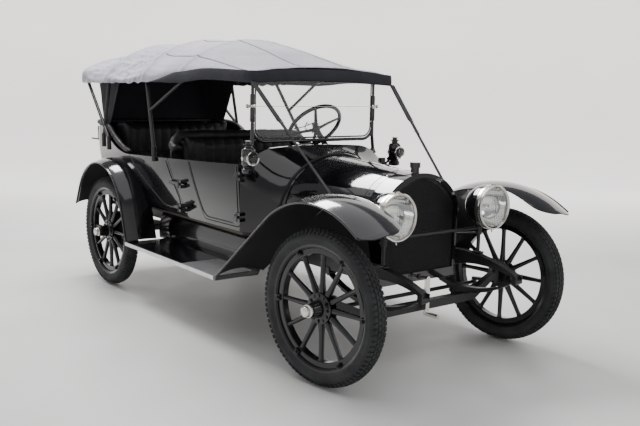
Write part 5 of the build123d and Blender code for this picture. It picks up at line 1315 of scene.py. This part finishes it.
def swollen(piece, pressure, cap):
    """The pad blown up by a short cloth run, with no point moved past the cap."""
    step = piece.modifiers.new("voxels", "REMESH")
    step.mode = "VOXEL"
    step.voxel_size = pad_voxel
    apply_modifiers(piece)
    start = [v.co.copy() for v in piece.data.vertices]
    moved = cloth_run(piece, 20, 0.0, pressure, quality=5, mass=0.3, tension_stiffness=15,
                      compression_stiffness=15, shear_stiffness=5, bending_stiffness=0.5)
    piece.modifiers.clear()
    for vertex, place in zip(piece.data.vertices, held_back(start, moved, cap)):
        vertex.co = place


def seat_pad(name, low, high, face, pitch):
    """A crowned pad with sewn channels across its face, gathered into its piped edge."""
    low, high = Vector(low), Vector(high)
    piece = block(name, low, high, black_leather, 0.022, 3)
    swollen(piece, 4.0, pad_swell_cap)
    step = piece.modifiers.new("finer", "SUBSURF")
    step.levels = step.render_levels = 1
    apply_modifiers(piece)
    middle, half = (low + high) / 2, (high - low) / 2
    if face == "up":
        depth, length, start, push = 2, 0, 0.1, Vector((0, 0, 1))
    else:
        depth, length, start, push = 0, 2, 0.2, Vector((1, 0, 0))
    for vertex in piece.data.vertices:
        p = vertex.co
        share = [(p[i] - middle[i]) / half[i] for i in range(3)]
        facing = max(0.0, min(1.0, (share[depth] + start) / 0.8))
        edge = min(1.0, (1.0 - min(1.0, abs(share[length]))) / 0.1 + 0.15)
        crown = (1 - min(1.0, abs(share[length])) ** 4) * (1 - min(1.0, abs(share[1])) ** 6)
        channel = 1.0 - abs(sin(pi * p.y / pitch)) ** 0.55
        gather = 0.0012 * noise.noise(Vector((p.x * 45, p.y * 30, p.z * 45)))
        vertex.co = p + push * (facing * (pad_crown * crown - pleat_depth * channel * edge) + gather)
    piece.data.materials.clear()
    piece.data.materials.append(black_leather)
    piece.data.shade_smooth()
    return piece


def wrinkled_roll(name, points, radius, finish, seed, squash=0.86, count=20, wave=0.1):
    """A stuffed roll that is gathered in short wrinkles along its length."""
    rings = []
    travelled = 0.0
    rows = frames_along(points)
    for i, (point, side, rise) in enumerate(rows):
        if i:
            travelled += (point - rows[i - 1][0]).length
        share = i / (len(rows) - 1)
        ends = min(1.0, min(share, 1 - share) / 0.02 + 0.35)
        ring = []
        for k in range(count):
            angle = 2 * pi * k / count
            crease = abs(noise.noise(Vector((travelled * 26.0, angle * 0.9, seed)))) * 1.9
            soft = noise.noise(Vector((travelled * 7.0, angle * 0.5, seed + 4)))
            size = radius * ends * (1.0 + wave * soft - wave * (1.0 - min(1.0, crease * 2.2)) * 0.9)
            ring.append(point + side * (size * cos(angle)) + rise * (size * squash * sin(angle)))
        rings.append(ring)
    return solid(name, *skin(rings), finish, sharp=80)


for name, low, high, face, pitch in seat_pads:
    pad = seat_pad(name, low, high, face, pitch)
    if name.endswith("cushion"):
        fit(pad, "car", "leather", name.replace("cushion", "seat"))
    else:
        fit(pad, "car", "leather")

# The roll along the front seat's back turns forward at both ends onto the body's edge
seat_roll = smooth_path([(-0.33, -0.566, 1.083), (-0.395, -0.56, 1.105), (-0.43, -0.52, 1.148),
                         (-0.432, -0.44, 1.172), (-0.432, 0.0, 1.174), (-0.432, 0.44, 1.172),
                         (-0.43, 0.52, 1.148), (-0.395, 0.56, 1.105), (-0.33, 0.566, 1.083)], 26)
fit(wrinkled_roll("front_seat_roll", seat_roll, 0.036, black_leather, 2.0), "car", "leather")


def edge_places(side):
    """Places along the body's top edge from the rear door back to the corner, as (x, z)."""
    found = []
    for x, z in ((-1.000, 1.022), (-1.09, 1.034), (-1.19, 1.066), (-1.3, 1.118), (-1.42, 1.18),
                 (-1.54, 1.204), (-1.64, 1.213)):
        share = (x + 0.45) / -1.277
        mid = 0.632 + 0.018 * (z - 0.86) / 0.376
        found.append((x, side * (mid + (0.59 - mid) * share ** 2 - 0.021), z + 0.004))
    return found


corner = [(-1.69, 0.545, 1.218), (-1.706, 0.49, 1.219)]
edge_roll = smooth_path(edge_places(-1) + [(x, -y, z) for x, y, z in corner] + [(-1.706, 0.0, 1.22)]
                        + [(x, y, z) for x, y, z in reversed(corner)] + edge_places(1)[::-1], 18)
fit(wrinkled_roll("body_edge_roll", edge_roll, 0.023, black_leather, 5.0, 0.9, 16), "car", "leather")

# Top straps: a flat strap with its doubled, buckled upper part
strap_top, strap_foot = Vector((0.588, 0.556, 1.5537)), Vector((1.345, 0.43, 0.835))
strap_flat = rounded_box_outline(0.0105, 0.0016, 0.0014, 2)
strap_doubled = rounded_box_outline(0.0165, 0.0052, 0.003, 3)
ring_corners = ((-1, -1), (1, -1), (1, 1), (-1, 1))
for name, side in SIDES:
    top = Vector((strap_top.x, side * strap_top.y, strap_top.z))
    foot = Vector((strap_foot.x, side * strap_foot.y, strap_foot.z))
    along = (foot - top).normalized()
    sideways = along.cross(Vector((0, 0, 1))).normalized()
    rise = sideways.cross(along)
    line = [top.lerp(foot, k / 24) for k in range(25)]
    lifted = Vector((0.003, 0, 0.003))
    upper = [top.lerp(foot, 0.012 + 0.3 * k / 16) + lifted * (1 - k / 16) for k in range(17)]
    parts = [solid("strap", *swept(line, strap_flat), strap_cloth, sharp=50),
             solid("doubled", *swept(upper, strap_doubled), strap_cloth, sharp=50)]
    buckle, slide = [top.lerp(foot, share) for share in (0.315, 0.262)]
    for at in (buckle, slide):
        ring = [at + sideways * across * 0.0165 + along * down * 0.0135 + rise * 0.003
                for across, down in ring_corners]
        parts.append(tube("buckle", ring, 0.0026, chassis_paint, 8, True, tuple(rise)))
        if at is buckle:
            tongue = [at + along * -0.0135 + rise * 0.004, at + along * 0.016 + rise * 0.006]
            parts.append(tube("tongue", tongue, 0.0018, nickel, 6, up=tuple(rise)))
    loop = top.lerp(foot, 0.41)
    keeper = [loop + sideways * across * 0.0135 + rise * up * 0.0045 for across, up in ring_corners]
    parts.append(tube("keeper", keeper, 0.0018, strap_cloth, 8, True, tuple(along)))
    tail = [top.lerp(foot, 0.3 + 0.14 * k / 8) + rise * 0.0042 for k in range(9)]
    parts.append(solid("tail", *swept(tail, strap_flat), strap_cloth, sharp=50))
    hook = [foot, foot + along * 0.02, foot + along * 0.034 + Vector((0, -side * 0.006, 0)),
            foot + along * 0.04 + Vector((0, -side * 0.016, 0.006))]
    parts.append(tube("hook", smooth_path(hook, 5), 0.0035, chassis_paint, 8))
    fit(join(f"top_strap_{name}", parts), f"strap_{name}", "strap", f"strap_{name}")

# Windscreen: posts and a rounded lower bar, with two thin-framed panes between them
screen_x, screen_half = 0.487, 0.485
screen_low, screen_mid, screen_high = 1.188, 1.404, 1.585


def screen_bend(low, high, inset, corner, radius):
    """A tube up both sides and round the lower corners."""
    half = screen_half - inset
    points = [Vector((screen_x, -half, high))]
    for k in range(9):
        a = pi + pi / 2 * k / 8
        points.append(Vector((screen_x, -half + corner + corner * cos(a), low + corner + corner * sin(a))))
    points += [Vector((p.x, -p.y, p.z)) for p in reversed(points)]
    return tube("bend", points, radius, black_paint, 14, up=(1, 0, 0))


def on_screen(*places):
    """Points in the windscreen's plane from (y, z) places."""
    return [Vector((screen_x, y, z)) for y, z in places]


# Turned parts of the windscreen: profile of (radius, along)
knob = [(0.0, 0.04), (0.005, 0.0395), (0.0105, 0.036), (0.0125, 0.031), (0.012, 0.025), (0.008, 0.02),
        (0.007, 0.012), (0.013, 0.01), (0.014, 0.002), (0.0, 0.0)]
pivot_plate = [(0.0, 0.0), (0.016, 0.0), (0.016, 0.004), (0.009, 0.007), (0.0, 0.008)]
foot_flange = [(0.0, -0.006), (0.028, -0.006), (0.029, 0.001), (0.02, 0.007), (0.016, 0.024), (0.0, 0.026)]
post_top = [(0.0, 0.0), (0.0125, 0.0), (0.014, 0.006), (0.0125, 0.013), (0.007, 0.017), (0.0, 0.018)]
foot_rows = ((0.0, 1.3), (0.0, 1.25), (0.001, 1.206), (0.006, 1.17), (0.012, 1.118), (0.01, 1.088))
inner, bar_high = screen_half - 0.02, screen_high - 0.004
screen_parts = [screen_bend(screen_low, screen_high, 0.0, 0.085, 0.0105),
                screen_bend(screen_low + 0.019, screen_mid - 0.004, 0.02, 0.066, 0.0052)]
top_frame = on_screen((-inner, screen_mid + 0.004), (-inner, screen_high - 0.018),
                      (-inner + 0.01, screen_high - 0.006))
top_frame += [Vector((p.x, -p.y, p.z)) for p in reversed(top_frame)]
screen_parts.append(tube("top_frame", top_frame, 0.0052, black_paint, 12, up=(1, 0, 0)))
top_bar = on_screen((-screen_half, bar_high), (screen_half, bar_high))
screen_parts.append(tube("top_bar", top_bar, 0.0068, black_paint, 12))
screen_bright = [block("glass_edge", (screen_x - 0.0032, -inner, screen_mid - 0.0016),
                       (screen_x + 0.0032, inner, screen_mid + 0.0016), nickel, 0.0006, 1)]
for side in (-1, 1):
    post_y = side * screen_half
    pivot = (screen_x, side * (screen_half + 0.008), screen_mid)
    screen_bright.append(lathe("knob", knob, pivot, (0, side, 0), nickel, 28))
    plate = (screen_x + 0.009, side * (screen_half - 0.002), screen_mid)
    screen_bright.append(lathe("pivot_plate", pivot_plate, plate, (1, 0, 0), nickel, 24))
    for z, reach in ((screen_mid - 0.04, 0.055), (screen_mid + 0.038, 0.035)):
        sleeve = [(0.01, -reach), (0.0148, -reach), (0.0158, -reach + 0.006), (0.0158, reach - 0.006),
                  (0.0148, reach), (0.01, reach)]
        screen_parts.append(lathe("sleeve", sleeve, (screen_x, post_y, z), (0, 0, 1), black_paint, 24))
    foot = on_screen(*((side * (screen_half + out), z) for out, z in foot_rows))
    screen_parts.append(tube("foot", smooth_path(foot, 5), 0.0118, black_paint, 14, up=(1, 0, 0)))
    flange_at = (screen_x, side * (screen_half + 0.01), 1.098)
    screen_parts.append(lathe("foot_flange", foot_flange, flange_at, (0, 0, 1), black_paint, 28))
    top_at = (screen_x, post_y, screen_high - 0.006)
    screen_parts.append(lathe("post_top", post_top, top_at, (0, 0, 1), black_paint, 24))
fit(join("screen_frames", screen_parts), "car", "body_black", "windscreen_frame")
fit(join("screen_knobs", screen_bright), "car", "nickel")

# Steering wheel, with its quadrant and levers on the column
wheel_middle, column_foot = Vector((0.04, 0.33, 1.25)), Vector((0.83, 0.317, 0.545))
column_way = (wheel_middle - column_foot).normalized()
first = Vector((0, 1, 0)) - column_way * column_way.y
first.normalize()
second = column_way.cross(first)
rim_radius = 0.2


def about_column(angle):
    """The direction across the column at an angle."""
    return first * cos(angle) + second * sin(angle)


rim_points = [wheel_middle + about_column(2 * pi * k / 96) * rim_radius for k in range(96)]
wheel_parts = [tube("rim", rim_points, 0.014, wheel_paint, 16, True, tuple(column_way))]
spoke_outline = rounded_box_outline(0.0115, 0.0058, 0.0045, 3)
shares = [k / 10 for k in range(11)]
for k in range(4):
    out = about_column(radians(65) + pi / 2 * k)
    line = [wheel_middle + out * (0.02 + 0.178 * t) - column_way * (0.026 * (1 - t) ** 1.5) for t in shares]
    arm = swept(line, spoke_outline, tuple(column_way), scale=[1.2 - 0.4 * t for t in shares])
    wheel_parts.append(solid("spoke", *arm, wheel_paint, sharp=50))
hub = [(0.0, 0.006), (0.01, 0.006), (0.013, 0.002), (0.013, -0.006), (0.024, -0.01), (0.03, -0.018),
       (0.031, -0.03), (0.026, -0.04), (0.019, -0.052), (0.0, -0.052)]
wheel_parts.append(lathe("hub", hub, wheel_middle, column_way, chassis_paint, 36))
fit(join("steering_rim", wheel_parts), "steering_wheel", "wheel_black", "steering_wheel")
quadrant_middle = wheel_middle + column_way * 0.026
arc = [quadrant_middle + about_column(radians(200 - 190 * k / 24)) * 0.062 for k in range(25)]
stem = [wheel_middle + column_way * 0.004, quadrant_middle + column_way * 0.01]
lever_parts = [tube("quadrant", arc, 0.0036, nickel, 10, up=tuple(column_way)),
               tube("quadrant_stem", stem, 0.0062, nickel, 14, up=(1, 0, 0))]
for angle, reach in ((150, 0.118), (60, 0.108)):
    out = about_column(radians(angle))
    base = quadrant_middle + column_way * 0.007
    tip = base + out * reach + column_way * 0.012
    lever_parts.append(tube("lever", [base, base + out * reach * 0.6, tip], 0.0034, nickel, 8,
                            up=tuple(column_way)))
    grip = [tip, base + out * (reach + 0.022) + column_way * 0.016]
    lever_parts.append(tube("grip", grip, 0.0058, wheel_paint, 10, up=tuple(column_way)))
for out in (first, -first, -second):
    strut = [quadrant_middle, quadrant_middle + out * 0.06]
    lever_parts.append(tube("strut", strut, 0.0028, nickel, 8, up=tuple(column_way)))
fit(join("spark_and_throttle", lever_parts), "car", "nickel")


# Small parts on the body: lace, beads and rivets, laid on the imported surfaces
bonnet_middle_z, bead_y = 0.8, 0.8015


def surface_of(*names):
    """A tree of the named nodes' surfaces, in the shared frame."""
    verts, faces = [], []
    for name in names:
        node = bpy.data.objects[name]
        start = len(verts)
        verts += [node.matrix_world @ v.co for v in node.data.vertices]
        faces += [[start + k for k in p.vertices] for p in node.data.polygons]
    return BVHTree.FromPolygons(verts, faces)


def laid_across(tree, x, angles, lift):
    """Points on a surface round the car's length at x, found from outside toward its middle."""
    found = []
    middle = Vector((x, 0, bonnet_middle_z))
    for angle in angles:
        out = Vector((0, cos(angle), sin(angle)))
        hit = tree.ray_cast(middle + out * 1.2, -out)
        if hit[0] is not None:
            found.append(hit[0] + out * lift)
    return found


def laid_beside(tree, side, line, lift):
    """Points of a line in the side view, set on the surface they meet from outside."""
    found = []
    for x, z in line:
        hit = tree.ray_cast(Vector((x, side * 1.5, z)), Vector((0, -side, 0)))
        if hit[0] is not None:
            found.append(hit[0] + Vector((0, side * lift, 0)))
    return found


def rounded_line(corners, radii, steps=7):
    """An open line through corners in the side view, with each inner corner rounded."""
    points = [Vector(corners[0])]
    for before, at, after, radius in zip(corners, corners[1:], corners[2:], radii):
        before, at, after = Vector(before), Vector(at), Vector(after)
        first, second = (before - at).normalized(), (after - at).normalized()
        reach = radius / max(tan(acos(max(-1.0, min(1.0, first.dot(second)))) / 2), 1e-3)
        start, stop = at + first * reach, at + second * reach
        for k in range(steps + 1):
            t = k / steps
            points.append(start * (1 - t) ** 2 + at * 2 * t * (1 - t) + stop * t ** 2)
    points.append(Vector(corners[-1]))
    line = []
    for a, b in zip(points, points[1:]):
        count = max(1, int((b - a).length / 0.018))
        line += [a.lerp(b, k / count) for k in range(count)]
    return [(p.x, p.y) for p in line + [points[-1]]]


# Lace bead on the cowl's ledge behind the bonnet
cowl_surface = surface_of("cowl")
arc_angles = [radians(-8 + 196 * k / 72) for k in range(73)]
lace = laid_across(cowl_surface, 0.702, arc_angles, 0.0035)
lace_web = rubber("lace_web", (0.012, 0.012, 0.013), (0.03, 0.03, 0.034))
fit(tube("bonnet_lace", smooth_path(lace, 2), 0.0085, lace_web, 12, up=(1, 0, 0)), "car", "chassis_black")

# Seam and rivets along each bonnet half's front edge, and its catch
grip_foot = [(0.0, 0.0), (0.013, 0.0), (0.013, 0.003), (0.007, 0.006), (0.0, 0.006)]
for name, side in SIDES:
    shell = surface_of(f"bonnet_{name}")
    start, stop = (6, 86) if side > 0 else (174, 94)
    angles = [radians(start + (stop - start) * k / 30) for k in range(31)]
    seam = laid_across(shell, 1.3, angles, 0.0002)
    rivets = [(p, (p - Vector((p.x, 0, bonnet_middle_z))).normalized())
              for p in laid_across(shell, 1.322, angles[3::6], 0.0)]
    parts = [tube("seam", smooth_path(seam, 2), 0.0017, black_paint, 8, up=(1, 0, 0)),
             fasteners(f"bonnet_rivets_{name}", rivets, 0.0042, 0.0022, black_paint, 12)]
    hit = shell.ray_cast(Vector((0.905, side * 1.5, 0.845)), Vector((0, -side, 0)))
    if hit[0] is not None:
        y = hit[0].y
        grip = [(0.845, y, 0.846), (0.85, y + side * 0.024, 0.85), (0.905, y + side * 0.03, 0.852),
                (0.96, y + side * 0.024, 0.85), (0.965, y, 0.846)]
        parts.append(tube("grip", smooth_path(grip, 5), 0.0055, nickel, 12))
        for x in (0.845, 0.965):
            parts.append(lathe("grip_foot", grip_foot, (x, y, 0.846), (0, side, 0), nickel, 20))
    fit(join(f"bonnet_trim_{name}", parts), f"bonnet_{name}", "body_black")

# A half-round bead round each door, inside its edge
front_door_line = rounded_line([(0.486, 1.04), (0.486, 0.684), (0.092, 0.684), (-0.04, 1.026)],
                               (0.075, 0.085))
rear_door_line = rounded_line([(-0.35, 1.01), (-0.172, 0.686), (-0.462, 0.686), (-0.818, 0.898),
                               (-0.915, 0.992)], (0.08, 0.11, 0.3))
for name, side in SIDES:
    for place, line in (("front", front_door_line), ("rear", rear_door_line)):
        shell = surface_of(f"door_{place}_{name}")
        points = laid_beside(shell, side, line, 0.0006)
        fit(tube(f"door_bead_{place}_{name}", points, 0.0042, black_paint, 10, up=(0, 1, 0)),
            f"door_{place}_{name}", "body_black")


def fender_edge(start, heading, run, radius, turn, tail, curl, y):
    """The wired edge of a fender: straight, round over the wheel, straight, and curled at the nose."""
    x, z = start
    angle = radians(heading)
    points = [Vector((x, y, z))]

    def onward(length, steps, bend=0.0):
        nonlocal x, z, angle
        for _ in range(steps):
            angle -= bend / steps / 2
            x += length / steps * cos(angle)
            z += length / steps * sin(angle)
            angle -= bend / steps / 2
            points.append(Vector((x, y, z)))

    onward(run, 12)
    onward(radius * radians(turn), 40, radians(turn))
    onward(tail, 4)
    if curl:
        onward(curl[0] * radians(curl[1]), 12, radians(curl[1]))
    return points


beads = []
for side in (-1, 1):
    front = fender_edge((0.585, 0.402), 38.5, 0.662, 0.64, 69.5, 0.062, (0.095, 46), side * bead_y)
    rear = fender_edge((-1.616, 0.571), 62, 0.15, 0.432, 134, 0.238, None, side * bead_y)
    for line in (front[:-13], rear):
        beads.append(tube("edge_bead", line, 0.0062, fender_paint, 12, up=(0, 1, 0)))
fit(join("fender_beads", beads), "car", "body_black")

# Raised ribs along the bright step plates
rows = [((0.356, side * (0.53 + 0.025 * k), 0.4012), (0, 0, 1), (1, 0, 0)) for side in (-1, 1)
        for k in range(11)]
fit(ribs("step_ribs", rows, (0.4, 0.005, 0.0024), aluminium), "car", "aluminium")


# Stage, lights and camera
backdrop_glow, backdrop_way = 1.45, (-0.79, 0.61, 0.1)
floor_edge, cove_radius, wall_top = -7.0, 2.6, 9.0
floor_rows = []
for k in range(33):
    turn = k / 32
    if turn < 0.4:
        floor_rows.append((floor_edge - floor_edge * (1 - turn / 0.4) * 2.2, 0.0))
    else:
        angle = (turn - 0.4) / 0.6 * radians(88)
        floor_rows.append((floor_edge - cove_radius * sin(angle), cove_radius * (1 - cos(angle))))
floor_rows.append((-9.7, wall_top))
stage_finish, stage_tree, stage_base = shader("studio_floor")
stage_where = place_on_object(stage_tree)
stage_colour = tint(stage_tree, noise_at(stage_tree, stage_where, 0.7, 4.0),
                    (0.3, (0.68, 0.685, 0.66)), (0.7, (0.78, 0.78, 0.76)))
stage_rough = spread(stage_tree, noise_at(stage_tree, stage_where, 3.0), 0.42, 0.55)
dress(stage_tree, stage_base, stage_colour, stage_rough, Emission_Color=(0.8, 0.775, 0.755, 1))
stage_far = add_node(stage_tree, "ShaderNodeVectorMath", operation="DOT_PRODUCT")
stage_tree.links.new(stage_where, stage_far.inputs[0])
stage_far.inputs[1].default_value = backdrop_way
stage_tree.links.new(spread(stage_tree, stage_far.outputs["Value"], 0.0, backdrop_glow, 1.8, 5.8),
                     stage_base.inputs["Emission Strength"])
verts, faces = skin([[(x, y, z) for x, z in floor_rows] for y in (-14.0, 0.0, 14.0)], closed_ring=False)
turn_away = Matrix.Rotation(atan2(camera_forward[1], camera_forward[0]) + pi, 4, "Z")
backdrop = solid("studio_floor", [turn_away @ v for v in verts], faces, stage_finish, sharp=80)


def lamp_panel(name, place, target, size, power):
    """A soft oblong light at a place, turned to its target."""
    light = bpy.data.lights.new(name, "AREA")
    light.shape = "RECTANGLE"
    light.size, light.size_y = size
    light.energy = power
    made = placed(name, light)
    made.location = place
    made.rotation_euler = (Vector(target) - Vector(place)).to_track_quat("-Z", "Y").to_euler()


lamp_panel("ceiling_light", (0.6, -0.5, 6.2), (0.6, -0.5, 0.0), (9.0, 8.0), 230)
lamp_panel("rear_window_light", (-2.5, 0.1, 5.0), (1.1, -0.2, 1.0), (3.4, 1.5), 460)
lamp_panel("front_light", (5.5, 2.5, 3.6), (0.8, 0.0, 0.8), (2.6, 1.4), 40)

world = bpy.data.worlds.new("studio")
world.use_nodes = True
sky = world.node_tree
sky_where = add_node(sky, "ShaderNodeTexCoord")
sky_split = add_node(sky, "ShaderNodeSeparateXYZ")
sky.links.new(sky_where.outputs["Generated"], sky_split.inputs[0])
sky_colour = tint(sky, spread(sky, sky_split.outputs["Z"], 0.0, 1.0, -0.2, 1.0), (0.15, (0.86, 0.85, 0.84)),
                  (0.42, (0.74, 0.735, 0.73)), (0.62, (0.3, 0.3, 0.32)), (1.0, (0.22, 0.22, 0.24)))
sky.links.new(sky_colour, sky.nodes["Background"].inputs["Color"])
sky.nodes["Background"].inputs["Strength"].default_value = 1.0
bpy.context.scene.world = world

camera_data = bpy.data.cameras.new("photo_camera")
camera_data.lens = camera_lens
camera_data.sensor_width = 36.0
camera = placed("photo_camera", camera_data)
forward = Vector(camera_forward).normalized()
upward = Vector(camera_up)
upward = (upward - forward * upward.dot(forward)).normalized()
rightward = forward.cross(upward)
camera.matrix_world = Matrix((
    (rightward.x, upward.x, -forward.x, camera_place[0]),
    (rightward.y, upward.y, -forward.y, camera_place[1]),
    (rightward.z, upward.z, -forward.z, camera_place[2]),
    (0, 0, 0, 1),
))
bpy.context.scene.camera = camera
